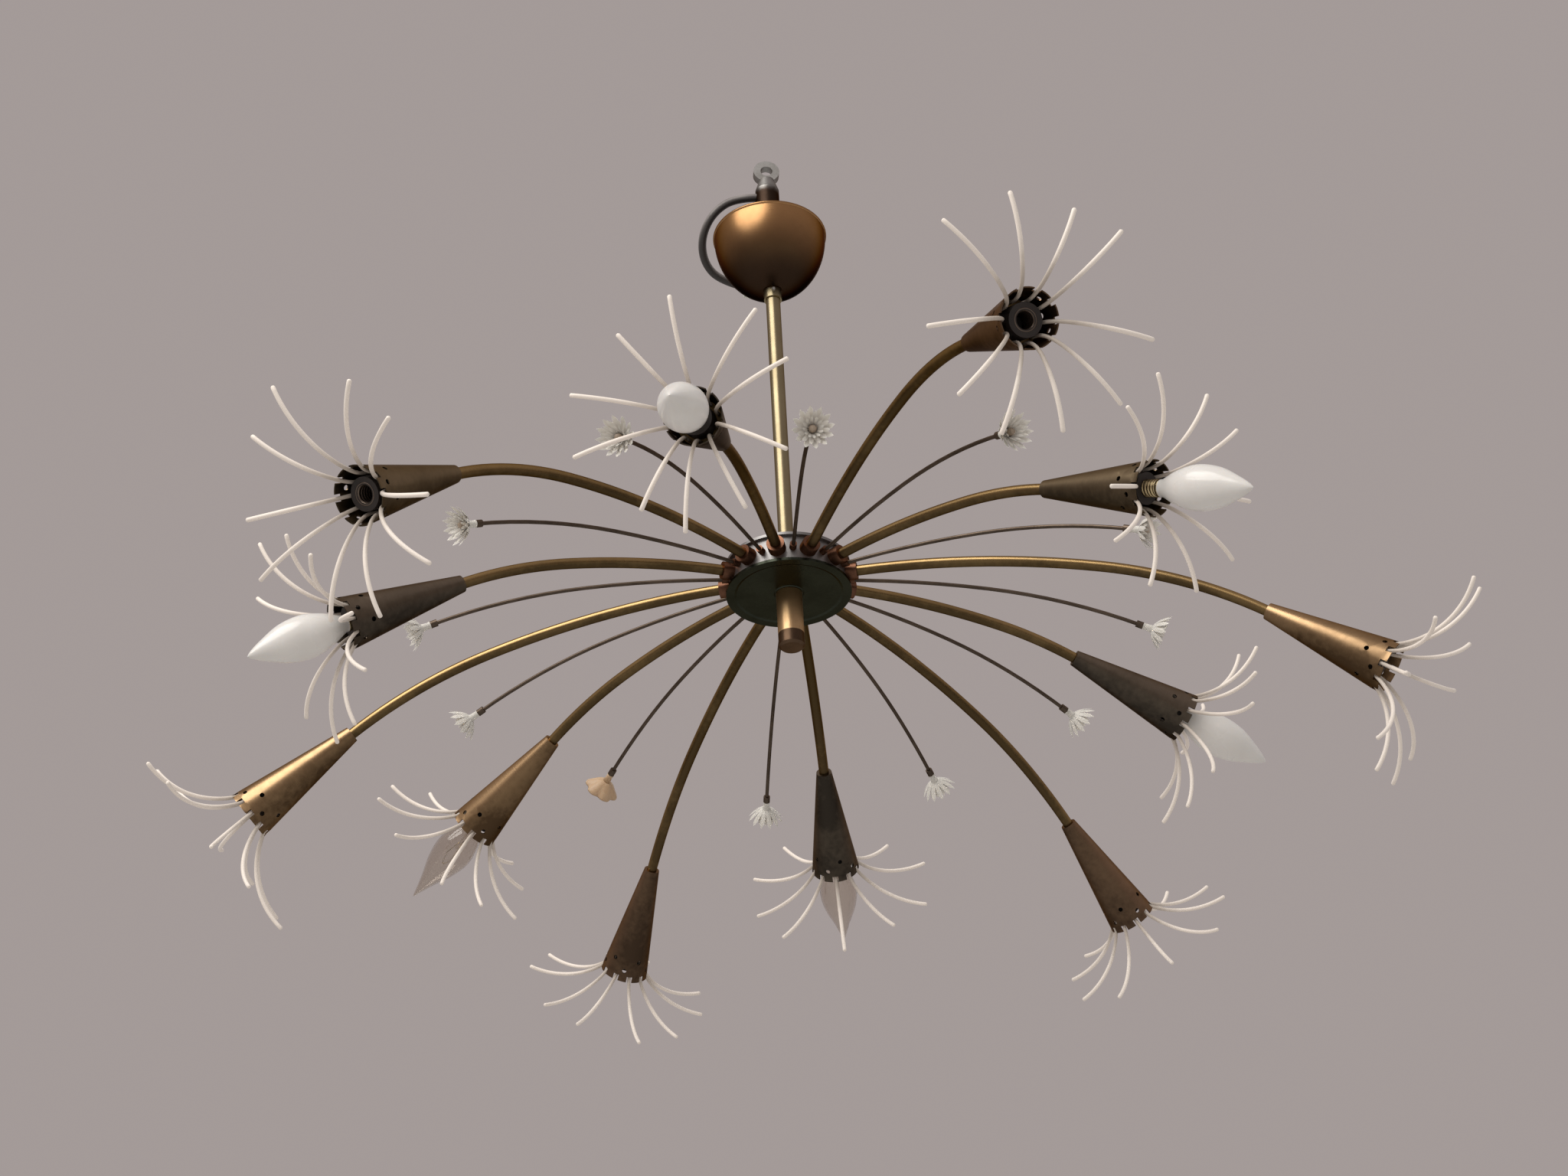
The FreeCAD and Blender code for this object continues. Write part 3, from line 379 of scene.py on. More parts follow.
@dataclass(frozen=True)
class Opal:
    """Milky bulb glass with a soft shine."""

    name: str = "opal_glass"
    colour: Colour = (0.80, 0.77, 0.74)
    shade: Colour = (0.74, 0.71, 0.68)
    roughness: float = 0.24
    milk: float = 0.25
    milk_depths: Triple = (6 * MM, 5 * MM, 4 * MM)

    def build(self) -> Material:
        """Makes the material.

        Returns:
            The material.
        """
        shader = Shader(self.name)
        cloud = shader.noise(shader.place(), 40.0)
        shader.set(base_color=shader.mix(self.colour, self.shade, cloud.step(0.3, 0.8)),
                   roughness=cloud * 0.08 + self.roughness, coat_weight=0.5, coat_roughness=0.08,
                   subsurface_weight=self.milk, subsurface_radius=self.milk_depths,
                   normal=shader.bump(cloud, 0.1 * MM, strength=0.2))
        return shader.material


# ---------------- mesh helpers
def add_object(name: str, data: bpy.types.ID) -> bpy.types.Object:
    """Puts a mesh, curve, lamp or camera in the scene.

    Args:
        name: the object's name.
        data: what it shows.

    Returns:
        The object.
    """
    made = bpy.data.objects.new(name, data)
    bpy.context.scene.collection.objects.link(made)
    return made


def new_piece(name: str, shape: Shape, material: Material, body: str,
              smooth: bool = True) -> bpy.types.Object:
    """Turns a mesh under construction into a dressed piece that rides on a body.

    Args:
        name: the piece's name.
        shape: the mesh, which is freed.
        material: its finish.
        body: the CAD body that it moves with.
        smooth: whether its faces are smooth.

    Returns:
        The piece.
    """
    bmesh.ops.recalc_face_normals(shape, faces=shape.faces)
    mesh = bpy.data.meshes.new(name)
    shape.to_mesh(mesh)
    shape.free()
    mesh.materials.append(material)
    if smooth:
        mesh.shade_smooth()
    piece = add_object(name, mesh)
    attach(piece, body)
    LOG.info("%s: %d faces on %s", name, len(mesh.polygons), body)
    return piece


def angles(count: int) -> list[float]:
    """The angles of so many even steps round a circle."""
    return [2 * math.pi * step / count for step in range(count)]


def on_circle(radius: float, angle: float, height: float) -> Vector:
    """The point at a radius, an angle and a height on the Z axis."""
    return Vector((radius * math.cos(angle), radius * math.sin(angle), height))


def in_metres(outline_mm: Outline, rise: float = 0.0) -> list[tuple[float, float]]:
    """An outline given in millimetres, turned into metres and raised."""
    return [(radius * MM, rise + height * MM) for radius, height in outline_mm]


def skin(shape: Shape, rings: Sequence[Sequence[bmesh.types.BMVert]], capped: bool = False) -> None:
    """Joins each ring of points to the next with faces.

    Args:
        shape: the mesh that the points are in.
        rings: the rings, each with the same number of points.
        capped: whether a face closes the first ring and the last.
    """
    for low, high in zip(rings, rings[1:]):
        for corners in zip(low, [*low[1:], low[0]], [*high[1:], high[0]], high):
            unique = list(dict.fromkeys(corners))
            if len(unique) > 2:
                shape.faces.new(unique)
    if capped:
        shape.faces.new(list(reversed(rings[0])))
        shape.faces.new(rings[-1])


def lathe(shape: Shape, outline: Outline, place: Matrix, sides: int, closed: bool = False) -> None:
    """Adds a turned surface.

    Args:
        shape: the mesh that it goes into.
        outline: radius and height of each ring, in metres.
        place: where the turned piece's Z axis lies.
        sides: how many steps go round.
        closed: whether the last ring joins the first.
    """
    rings = []
    for radius, height in outline:
        if radius < TOUCHING:
            rings.append([shape.verts.new(place @ Vector((0, 0, height)))] * sides)
        else:
            rings.append([shape.verts.new(place @ on_circle(radius, angle, height))
                          for angle in angles(sides)])
    skin(shape, [*rings, rings[0]] if closed else rings)


def tube(shape: Shape, points: Sequence[Vector], radii: Sequence[float], sides: int,
         share_layer: Any = None) -> None:
    """Adds a round tube along points, with closed ends.

    Args:
        shape: the mesh that it goes into.
        points: the centre line.
        radii: the tube's radius at each point.
        sides: how many steps go round.
        share_layer: a vertex float layer that takes how far along each ring lies.
    """
    rings = []
    last = len(points) - 1
    across = (points[1] - points[0]).orthogonal().normalized()
    for index, (point, radius) in enumerate(zip(points, radii)):
        ahead = (points[min(index + 1, last)] - points[max(index - 1, 0)]).normalized()
        across = (across - ahead * across.dot(ahead)).normalized()
        other = ahead.cross(across)
        ring = []
        for angle in angles(sides):
            outward = across * math.cos(angle) + other * math.sin(angle)
            ring.append(shape.verts.new(point + outward * radius))
            if share_layer is not None:
                ring[-1][share_layer] = index / last
        rings.append(ring)
    skin(shape, rings, capped=True)


def frame_along(origin: Vector, axis: Vector, roll_deg: float = 0.0) -> Matrix:
    """The matrix of a frame whose Z runs along an axis and whose Y lies level.

    Args:
        origin: the frame's origin.
        axis: its Z axis.
        roll_deg: how far it is then turned about Z.

    Returns:
        The matrix.
    """
    ahead = axis.normalized()
    level = Vector((-ahead.y, ahead.x, 0)).normalized()
    outward = level.cross(ahead)
    turn = Matrix((outward, level, ahead)).transposed().to_4x4()
    return Matrix.Translation(origin) @ turn @ Matrix.Rotation(math.radians(roll_deg), 4, "Z")


def spline(before: float, first: float, second: float, after: float, share: float) -> float:
    """A smooth way from first to second, by share, that heads as the marks before and after them do."""
    return 0.5 * (2 * first + (second - before) * share
                  + (2 * before - 5 * first + 4 * second - after) * share ** 2
                  + (3 * first - before - 3 * second + after) * share ** 3)


# ---------------- the screw of cap and socket
@dataclass(frozen=True)
class Screw:
    """The round thread that bulb caps and lampholders share."""

    crest: float
    depth: float
    pitch: float = 2.82 * MM
    rows_per_turn: int = 8
    fade_rows: int = 4
    sides: int = 36

    @property
    def root(self) -> float:
        """The inner radius."""
        return self.crest - self.depth

    def add(self, shape: Shape, place: Matrix, low: float, high: float) -> None:
        """Adds the thread between two levels, fading out at both.

        Args:
            shape: the mesh that it goes into.
            place: the frame whose Z is the screw's axis.
            low: where it starts.
            high: where it ends.
        """
        rows = int((high - low) / self.pitch * self.rows_per_turn)
        rings = []
        for row in range(rows + 1):
            height = low + (high - low) * row / rows
            fade = min(1.0, row / self.fade_rows, (rows - row) / self.fade_rows)
            ring = []
            for angle in angles(self.sides):
                wave = 0.5 + 0.5 * math.cos(2 * math.pi * height / self.pitch - angle)
                radius = self.root + (self.crest - self.root) * wave * fade
                ring.append(shape.verts.new(place @ on_circle(radius, angle, height)))
            rings.append(ring)
        skin(shape, rings)


# ---------------- finishes
# Where a metal below darkens its downward faces, that is painted shade.
AGED_BRASS = Metal(
    "aged_brass", (0.43, 0.29, 0.13), (0.085, 0.057, 0.027), roughness=0.24, tarnish=0.35, patch=14.0,
    grain_depth=0.08, underside_shade=0.85)
STEM_BRASS = Metal(
    "stem_brass", (0.35, 0.295, 0.185), (0.18, 0.14, 0.08), roughness=0.3, tarnish=0.35, patch=18.0,
    grain=Grain.LENGTHWISE, grain_depth=0.08)
# The canopy's foot colour is painted shade that darkens the bowl towards its foot, and its dark edge colour
# is painted shade at its edges.
CANOPY_BRASS = Metal(
    "canopy_brass", (0.43, 0.24, 0.108), (0.16, 0.085, 0.038), roughness=0.28, tarnish=0.4, patch=11.0,
    grain=Grain.TURNED, grain_depth=0.06, foot=(0.042, 0.025, 0.016), foot_from=0.084, foot_to=0.14,
    edge=(0.18, 0.14, 0.12))
FINIAL_BRASS = Metal(
    "finial_brass", (0.74, 0.5, 0.27), (0.4, 0.25, 0.12), roughness=0.34, tarnish=0.35, patch=60.0,
    grain=Grain.TURNED)
# The finial's cap: the finial's brass darkened, which is painted shade on its downward end.
FINIAL_DARK = Metal(
    "finial_dark", (0.13, 0.082, 0.052), (0.06, 0.038, 0.024), roughness=0.34, tarnish=0.5, patch=60.0,
    grain=Grain.TURNED)
HUB_NICKEL = Metal(
    "hub_nickel", (0.29, 0.285, 0.285), (0.17, 0.155, 0.15), roughness=0.4, tarnish=0.35, patch=40.0,
    grain=Grain.TURNED, grain_depth=0.08)
PLATE_DARK = Metal(
    "plate_dark", (0.04, 0.045, 0.034), (0.016, 0.018, 0.014), roughness=0.26, tarnish=0.5, patch=30.0,
    grain=Grain.TURNED, grain_depth=0.1)
COLLAR_BRONZE = Metal(
    "collar_bronze", (0.22, 0.105, 0.065), (0.07, 0.036, 0.022), roughness=0.34, tarnish=0.5, patch=80.0,
    grain_depth=0.1, underside_shade=0.4)
COLLAR_BRIGHT = Metal(
    "collar_bright", (0.72, 0.7, 0.66), (0.42, 0.38, 0.32), roughness=0.16, tarnish=0.3, patch=60.0,
    grain=Grain.TURNED, grain_depth=0.1)
ROD_DARK = Metal(
    "rod_dark", (0.17, 0.13, 0.1), (0.045, 0.034, 0.027), roughness=0.42, tarnish=0.4, patch=40.0,
    grain_depth=0.1, underside_shade=0.4)
STEEL_NUT = Metal(
    "steel_nut", (0.5, 0.49, 0.47), (0.22, 0.2, 0.17), roughness=0.32, tarnish=0.4, patch=90.0,
    grain=Grain.TURNED, grain_depth=0.14)
EYE_ZINC = Metal(
    "eye_zinc", (0.42, 0.42, 0.41), (0.14, 0.125, 0.11), roughness=0.38, tarnish=0.6, patch=60.0,
    grain_depth=0.14, foot=(0.04, 0.026, 0.019), foot_from=0.024, foot_to=0.036)
SOCKET_METAL = Metal(
    "socket_metal", (0.17, 0.135, 0.11), (0.08, 0.06, 0.05), roughness=0.36, tarnish=0.45, patch=90.0)
CAP_METAL = Metal(
    "cap_metal", (0.58, 0.47, 0.28), (0.3, 0.23, 0.12), roughness=0.26, tarnish=0.4, patch=90.0)
CAP_INSULATOR = Plastic("cap_insulator", (0.05, 0.045, 0.05), (0.03, 0.03, 0.03), roughness=0.3)
HOLDER = Plastic("lampholder", (0.022, 0.015, 0.012), (0.014, 0.01, 0.008), roughness=0.6)
LEAD = Plastic("lead_white", (0.74, 0.72, 0.68), (0.62, 0.6, 0.55), roughness=0.5)
BLOCK = Plastic("block_white", (0.78, 0.77, 0.72), (0.66, 0.64, 0.58), roughness=0.42)
# The cable's third colour is painted shade on its downward faces.
SHEATH = Plastic(
    "cable_grey", (0.25, 0.225, 0.215), (0.15, 0.13, 0.125), roughness=0.42,
    underside_shade=(0.035, 0.03, 0.029))
BEAD = Plastic("bead_brown", (0.36, 0.28, 0.21), (0.24, 0.18, 0.13), roughness=0.3)
BULB_GLASS = Glass("bulb_glass", (0.84, 0.79, 0.74), roughness=0.04)
FLORET_CLEAR = Glass("floret_acrylic", (0.95, 0.91, 0.85), roughness=0.42, body=0.35, milk=0.5)
FLORET_AMBER = Glass("floret_amber", (0.66, 0.46, 0.29), roughness=0.4, body=0.2, milk=0.5)


class CupTone(Enum):
    """The clean and tarnish colours of the cups: partly their own patina, partly painted light and shade,
    golden on cups that are lit and dark on cups in shade.
    """

    GOLDEN = ((0.52, 0.345, 0.19), (0.085, 0.052, 0.028))
    OLIVE = ((0.3, 0.23, 0.145), (0.058, 0.045, 0.03))
    BROWN = ((0.32, 0.205, 0.125), (0.062, 0.04, 0.026))
    DARK = ((0.22, 0.175, 0.13), (0.042, 0.035, 0.028))


# ---------------- camera, room and lamp
@dataclass
class Studio:
    """Camera, pale floor, even background and one soft lamp."""

    camera_place: Triple = (-0.20129, -1.90862, -1.68793)
    camera_turn_deg: Triple = (122.657, 2.580, -4.249)
    lens_mm: float = 62.09
    sensor_mm: float = 36.0
    wall: Colour = (0.37, 0.325, 0.315)
    fill: Colour = (0.62, 0.61, 0.60)
    floor_tone: Colour = (0.62, 0.60, 0.58)
    floor_level: float = -2.25
    floor_half: float = 6.0
    lamp_place: Triple = (-1.6, -1.8, 1.5)
    lamp_aim: Triple = (0, 0, -0.4)
    lamp_size: float = 3.0
    lamp_power: float = 80.0
    lamp_tint: Colour = (1.0, 0.97, 0.92)

    def build(self) -> None:
        """Makes everything that stands round the part."""
        self.place_camera()
        self.light_world()
        self.lay_floor()
        self.hang_lamp()

    def place_camera(self) -> None:
        """Sets the camera where the view was taken from."""
        data = bpy.data.cameras.new("camera")
        data.lens = self.lens_mm
        data.sensor_width = self.sensor_mm
        camera = add_object("camera", data)
        camera.location = self.camera_place
        camera.rotation_euler = [math.radians(angle) for angle in self.camera_turn_deg]
        bpy.context.scene.camera = camera
        bpy.context.scene.view_settings.view_transform = "Standard"

    def light_world(self) -> None:
        """An even surround: the wall's colour where it is seen, a plain fill where it lights."""
        world = bpy.data.worlds.new("surround")
        bpy.context.scene.world = world
        world.use_nodes = True
        tree = world.node_tree
        tree.nodes.clear()
        path = tree.nodes.new("ShaderNodeLightPath")
        seen = path.outputs["Is Camera Ray"]
        for ray in ("Is Transmission Ray", "Is Glossy Ray"):
            either = tree.nodes.new("ShaderNodeMath")
            either.operation = "MAXIMUM"
            tree.links.new(seen, either.inputs[0])
            tree.links.new(path.outputs[ray], either.inputs[1])
            seen = either.outputs[0]
        blend = tree.nodes.new("ShaderNodeMixShader")
        tree.links.new(seen, blend.inputs[0])
        for entry, colour in ((1, self.fill), (2, self.wall)):
            glow = tree.nodes.new("ShaderNodeBackground")
            glow.inputs["Color"].default_value = (*colour, 1)
            tree.links.new(glow.outputs[0], blend.inputs[entry])
        out = tree.nodes.new("ShaderNodeOutputWorld")
        tree.links.new(blend.outputs[0], out.inputs["Surface"])

    def lay_floor(self) -> None:
        """A plain pale floor far below the hanging part."""
        shape = bmesh.new()
        corners = [shape.verts.new((x * self.floor_half, y * self.floor_half, self.floor_level))
                   for x, y in ((-1, -1), (1, -1), (1, 1), (-1, 1))]
        shape.faces.new(corners)
        mesh = bpy.data.meshes.new("floor")
        shape.to_mesh(mesh)
        shape.free()
        shader = Shader("pale_floor")
        shader.set(base_color=self.floor_tone, roughness=0.9)
        mesh.materials.append(shader.material)
        add_object("floor", mesh)

    def hang_lamp(self) -> None:
        """One large soft lamp above, in front to the left, like a broad window."""
        data = bpy.data.lights.new("window", "AREA")
        data.shape = "DISK"
        data.size = self.lamp_size
        data.energy = self.lamp_power
        data.color = self.lamp_tint
        lamp = add_object("window", data)
        lamp.location = self.lamp_place
        aim = Vector(self.lamp_aim) - Vector(self.lamp_place)
        lamp.rotation_euler = aim.to_track_quat("-Z", "Y").to_euler()


# ---------------- the CAD nodes that keep their shape
@dataclass
class Metalwork:
    """Finishes for the CAD nodes that show as they are."""

    nodes: dict[str, bpy.types.Object]
    lamps: dict[int, Ray]

    FINISHES = {
        "hanging_eye": EYE_ZINC, "eye_locknut": STEEL_NUT, "stem": STEM_BRASS,
        "stem_collar": COLLAR_BRIGHT, "tie_rod": STEEL_NUT, "canopy": CANOPY_BRASS,
        "canopy_collar": STEM_BRASS, "canopy_screw": STEEL_NUT, "hub_top_plate": HUB_NICKEL,
        "hub_bottom_plate": PLATE_DARK, "hub_drum": HUB_NICKEL, "finial_tube": FINIAL_BRASS,
        "finial_cap": FINIAL_DARK, "arm_collars": COLLAR_BRONZE, "arm_locknuts": STEEL_NUT,
        "rod_collars": COLLAR_BRONZE, "cup_nuts": STEEL_NUT, "stamen_rings": AGED_BRASS,
        "lampholders": HOLDER, "arm_leads": LEAD, "stem_cores": LEAD, "hub_connectors": BLOCK,
        "cable_block": BLOCK, "rods": ROD_DARK, "rod_ferrules": ROD_DARK, "floret_beads": BEAD,
    }
    # The tone of each cup is partly painted light and shade: golden where a cup is lit, dark where it is in
    # shade.
    CUP_TONES = {2: CupTone.OLIVE, 3: CupTone.GOLDEN, 4: CupTone.DARK, 6: CupTone.DARK, 8: CupTone.GOLDEN,
                 9: CupTone.GOLDEN, 10: CupTone.DARK, 11: CupTone.OLIVE, 12: CupTone.DARK}
    USUAL_TONE = CupTone.BROWN

    def dress(self, node: str, material: Material) -> None:
        """Gives one CAD node its finish.

        Args:
            node: the node's name.
            material: its finish.
        """
        mesh = self.nodes[node].data
        mesh.materials.clear()
        mesh.materials.append(material)
        LOG.info("%s wears %s", node, material.name)

    def dress_all(self) -> None:
        """Gives every kept node its finish, each plain one made once, and each cup its own."""
        made = {finish: finish.build() for finish in dict.fromkeys(self.FINISHES.values())}
        for node, finish in self.FINISHES.items():
            self.dress(node, made[finish])
        for arm, (mouth, axis) in self.lamps.items():
            clean, tarnish_and_shade_colour = self.CUP_TONES.get(arm, self.USUAL_TONE).value
            # Each cup also gets painted shade on its downward faces.
            bronze = Metal(f"cup_bronze_{arm:02d}", clean, tarnish_and_shade_colour, roughness=0.28, tarnish=0.40,
                           patch=14.0, grain=Grain.TURNED, grain_depth=0.10, line_scale=900.0, underside_shade=0.75)
            self.dress(f"arm_{arm:02d}", made[AGED_BRASS])
            self.dress(f"cup_{arm:02d}", bronze.build(mouth, axis))


# ---------------- stamens
@dataclass
class Stamens:
    """Ten sleeved wires in each cup, which stand in a ring and flare out through the notches of the rim."""

    lamps: dict[int, Ray]
    count: int = 10
    circle: float = 15.1 * MM
    root_drop: float = 21.5 * MM
    straight: float = 10.5 * MM
    bend_radius: float = 28 * MM
    flare_radius: float = 75 * MM
    total_turn: float = 94.0
    lean_spread: float = 3.0
    turn_spread: float = 4.0
    usual_sway: float = 5.0
    root_radius: float = 1.4 * MM
    tip_radius: float = 1.75 * MM
    thickens_within: float = 1 / 1.6
    bend_steps: int = 7
    flare_steps: int = 22
    sides: int = 8

    LEAN = {1: 60, 2: 44, 3: 32, 9: 28, 11: 38, 12: 44}
    USUAL_LEAN = 40
    EXTRA_TURN = {1: 10}
    ROLL = {1: -11, 3: 8, 9: 20, 12: -4}
    SWAY = {1: (0, -7, -10, -10, 10, -3, -6, -7, 10, 10), 12: (-4, -10, -10, 5, -3, 6, 3, 7, 0, 10)}
    LEAN_BEAT, TURN_BEAT, SWAY_BEAT, ARM_BEAT = 2.4, 1.7, 2.9, 1.7
    DOME_HEIGHT, DOME_WIDTH = 0.5, 0.55

    def line(self, arm: int, index: int) -> list[Vector]:
        """The centre line of one wire in its cup's frame.

        Args:
            arm: the arm's number.
            index: the wire's number round the cup.

        Returns:
            Points from the ring to the tip, Z out of the cup, for a wire that stands on the X axis.
        """
        lean = math.radians(self.LEAN.get(arm, self.USUAL_LEAN)
                            + self.lean_spread * math.sin(self.LEAN_BEAT * index + arm))
        total = math.radians(self.total_turn + self.EXTRA_TURN.get(arm, 0)
                             + self.turn_spread * math.cos(self.TURN_BEAT * index + arm))
        usual = self.usual_sway * math.sin(self.SWAY_BEAT * index + self.ARM_BEAT * arm)
        sway = math.radians(self.SWAY[arm][index] if arm in self.SWAY else usual)
        side = Vector((math.cos(sway), math.sin(sway), 0))
        rise = Vector((0, 0, 1))
        start = Vector((self.circle, 0, self.straight - self.root_drop))
        points = [Vector((self.circle, 0, -self.root_drop)), start]
        for step in range(1, self.bend_steps + 1):
            angle = lean * step / self.bend_steps
            points.append(start + (side * (1 - math.cos(angle)) + rise * math.sin(angle)) * self.bend_radius)
        start = points[-1]
        for step in range(1, self.flare_steps + 1):
            angle = lean + (total - lean) * step / self.flare_steps
            points.append(start + (side * (math.cos(lean) - math.cos(angle))
                                   + rise * (math.sin(angle) - math.sin(lean))) * self.flare_radius)
        return points

    def build(self) -> None:
        """Makes one piece for the long arms, which have the odd numbers, and one for the short."""
        finish = Sleeve().build()
        for node, odd in (("stamens_long", 1), ("stamens_short", 0)):
            shape = bmesh.new()
            share = shape.verts.layers.float.new("along")
            for arm, (mouth, axis) in self.lamps.items():
                if arm % 2 == odd:
                    self.add_cup(shape, share, arm, frame_along(mouth, axis, self.ROLL.get(arm, 0)))
            piece = new_piece(f"{node}_wires", shape, finish, "fixture")
            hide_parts(node)

    def add_cup(self, shape: Shape, share: Any, arm: int, place: Matrix) -> None:
        """Adds the wires of one cup, each with a small dome on its end.

        Args:
            shape: the mesh that they go into.
            share: the layer for how far along each point lies.
            arm: the arm's number.
            place: the frame at the lampholder's mouth.
        """
        for index, angle in enumerate(angles(self.count)):
            turn = place @ Matrix.Rotation(angle, 4, "Z")
            points = [turn @ point for point in self.line(arm, index)]
            last = len(points) - 1
            radii = [self.root_radius + (self.tip_radius - self.root_radius)
                     * min(1.0, step / last / self.thickens_within) for step in range(last + 1)]
            ahead = (points[-1] - points[-2]).normalized()
            points.append(points[-1] + ahead * self.tip_radius * self.DOME_HEIGHT)
            radii.append(radii[-1] * self.DOME_WIDTH)
            tube(shape, points, radii, self.sides, share)


# ---------------- bulbs and sockets
class BulbKind(Enum):
    """The envelopes: height share and width share pairs from the cap to the tip."""

    OPAL = ((0.0, 0.0), (0.05, 0.08), (0.2, 0.62), (0.4, 1.0), (0.62, 0.9), (0.82, 0.52), (0.95, 0.2),
            (1.0, 0.0))
    CLEAR = ((0.0, 0.0), (0.05, 0.08), (0.18, 0.66), (0.36, 1.0), (0.56, 0.82), (0.76, 0.42), (0.93, 0.13),
             (1.0, 0.0))


@dataclass
class Bulb:
    """A candle bulb: threaded cap, insulated button, glass and, in a clear one, its mount and filament."""

    arm: int
    mouth: Vector
    axis: Vector
    kind: BulbKind
    glass: Material
    metal: Material
    dark: Material
    unscrewed: float = 0.0
    length: float = 110 * MM
    cap_length: float = 24 * MM
    cap_drop: float = 21.9 * MM
    widest: float = 17.5 * MM
    neck: float = 6.8 * MM
    neck_share: float = 0.3
    wall: float = 0.8 * MM
    outline_steps: int = 6
    lead_radius: float = 0.3 * MM
    wire_radius: float = 0.12 * MM
    coil_radius: float = 0.5 * MM
    coil_arch: float = 9 * MM
    coil_steps: int = 90
    coil_turn: float = 1.4

    SCREW = Screw(crest=6.9 * MM, depth=0.75 * MM)
    THREAD_FROM, THREAD_TO = 4 * MM, 0.5 * MM
    BAND_MM = (3.2, 4.4)
    BUTTON_MM = ((0, 0), (2.6, 0.1), (3.1, 0.7), (2.6, 1.3))
    INSULATOR_MM = ((2.4, 0.9), (3.9, 1.4), (6.0, 2.9))
    INSULATOR_TOP = 3.6 * MM
    MOUNT_MM = ((5.0, 0.5), (4.0, 6), (2.2, 14), (1.6, 22), (1.2, 30), (0, 31))
    LEAD_MM = ((1.2, 20), (3.5, 30), (5.5, 40))

    @property
    def body(self) -> str:
        """The CAD body that it moves with, which is also the node that its glass replaces."""
        return f"bulb_{self.arm:02d}"

    @property
    def place(self) -> Matrix:
        """The frame at the lampholder's mouth, moved out as far as the bulb is unscrewed."""
        return frame_along(self.mouth + self.axis * self.unscrewed, self.axis)

    @property
    def cap_top(self) -> float:
        """The level of the cap's upper edge over the lampholder's mouth."""
        return self.cap_length - self.cap_drop

    def outline(self, inset: float) -> list[tuple[float, float]]:
        """The envelope's smooth outline, from its neck to its tip.

        Args:
            inset: how far inside the outer surface it runs.

        Returns:
            Radius and height of each ring above the lampholder's mouth.
        """
        low = self.cap_top
        high = self.length - self.cap_drop
        marks = []
        for height, width in self.kind.value:
            base = self.neck if height < self.neck_share else 0.0
            marks.append((max(0.0, base + (self.widest - base) * width - inset), low + (high - low) * height))
        marks[-1] = (0.0, high - inset)
        padded = [marks[0], *marks, marks[-1]]
        rings = []
        for four in zip(padded, padded[1:], padded[2:], padded[3:]):
            radii, heights = zip(*four)
            for step in range(self.outline_steps):
                share = step / self.outline_steps
                rings.append((max(0.0, spline(*radii, share)), spline(*heights, share)))
        return rings + [marks[-1]]

    def build(self) -> None:
        """Makes the bulb's pieces."""
        shape = bmesh.new()
        if self.kind is BulbKind.OPAL:
            lathe(shape, self.outline(0.0), self.place, sides=56)
        else:
            inner = self.outline(self.wall)
            lathe(shape, self.outline(0.0) + list(reversed(inner)), self.place, sides=56, closed=True)
        bmesh.ops.remove_doubles(shape, verts=shape.verts, dist=TOUCHING)
        envelope = new_piece(f"{self.body}_glass", shape, self.glass, self.body)
        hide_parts(self.body)
        self.add_cap()
        if self.kind is BulbKind.CLEAR:
            self.add_filament()

    def add_cap(self) -> None:
        """Adds the threaded cap, its insulator and its button."""
        low, crest, root = -self.cap_drop, self.SCREW.crest, self.SCREW.root
        shape = bmesh.new()
        self.SCREW.add(shape, self.place, low + self.THREAD_FROM, self.THREAD_TO)
        lathe(shape, [(root, low + level * MM) for level in self.BAND_MM], self.place, sides=40)
        skirt = [(root, -0.2 * MM), (crest, 0.4 * MM), (crest, self.cap_top)]
        shoulder = [(self.neck, self.cap_top + 0.6 * MM), (self.neck - self.wall, self.cap_top)]
        lathe(shape, skirt + shoulder, self.place, sides=40)
        lathe(shape, in_metres(self.BUTTON_MM, low), self.place, sides=32)
        new_piece(f"{self.body}_cap", shape, self.metal, self.body)
        shape = bmesh.new()
        insulator = in_metres(self.INSULATOR_MM, low) + [(root, low + self.INSULATOR_TOP)]
        lathe(shape, insulator, self.place, sides=40)
        new_piece(f"{self.body}_insulator", shape, self.dark, self.body)

    def add_filament(self) -> None:
        """Adds the glass mount, two lead wires and a looped filament between their ends."""
        shape = bmesh.new()
        lathe(shape, in_metres(self.MOUNT_MM, self.cap_top), self.place, sides=24)
        new_piece(f"{self.body}_mount", shape, self.glass, self.body)
        shape = bmesh.new()
        lead = in_metres(self.LEAD_MM, self.cap_top)
        for side in (-1, 1):
            points = [self.place @ Vector((side * out, 0, height)) for out, height in lead]
            tube(shape, points, [self.lead_radius] * len(points), sides=6)
        reach, level = lead[-1]
        coil = []
        for step in range(self.coil_steps):
            share = step / (self.coil_steps - 1)
            along = (share * 2 - 1) * reach + self.coil_radius * math.cos(step * self.coil_turn)
            across = self.coil_radius * math.sin(step * self.coil_turn)
            arch = level + self.coil_arch * math.sin(math.pi * share)
            coil.append(self.place @ Vector((along, across, arch)))
        tube(shape, coil, [self.wire_radius] * len(coil), sides=5)
        new_piece(f"{self.body}_filament", shape, self.metal, self.body)


@dataclass
class Bulbs:
    """The six bulbs on the short arms, which have the even numbers."""

    lamps: dict[int, Ray]
    clear_length: float = 116 * MM

    CLEAR_ARMS = (6, 8)
    UNSCREWED = {2: 12 * MM}

    def build(self) -> None:
        """Makes the opal bulbs, one of them partly unscrewed, and the two longer clear ones."""
        opal, clear = Opal().build(), BULB_GLASS.build()
        cap = (CAP_METAL.build(), CAP_INSULATOR.build())
        for arm, (mouth, axis) in self.lamps.items():
            if arm in self.CLEAR_ARMS:
                Bulb(arm, mouth, axis, BulbKind.CLEAR, clear, *cap, length=self.clear_length).build()
            elif arm % 2 == 0:
                Bulb(arm, mouth, axis, BulbKind.OPAL, opal, *cap, self.UNSCREWED.get(arm, 0.0)).build()


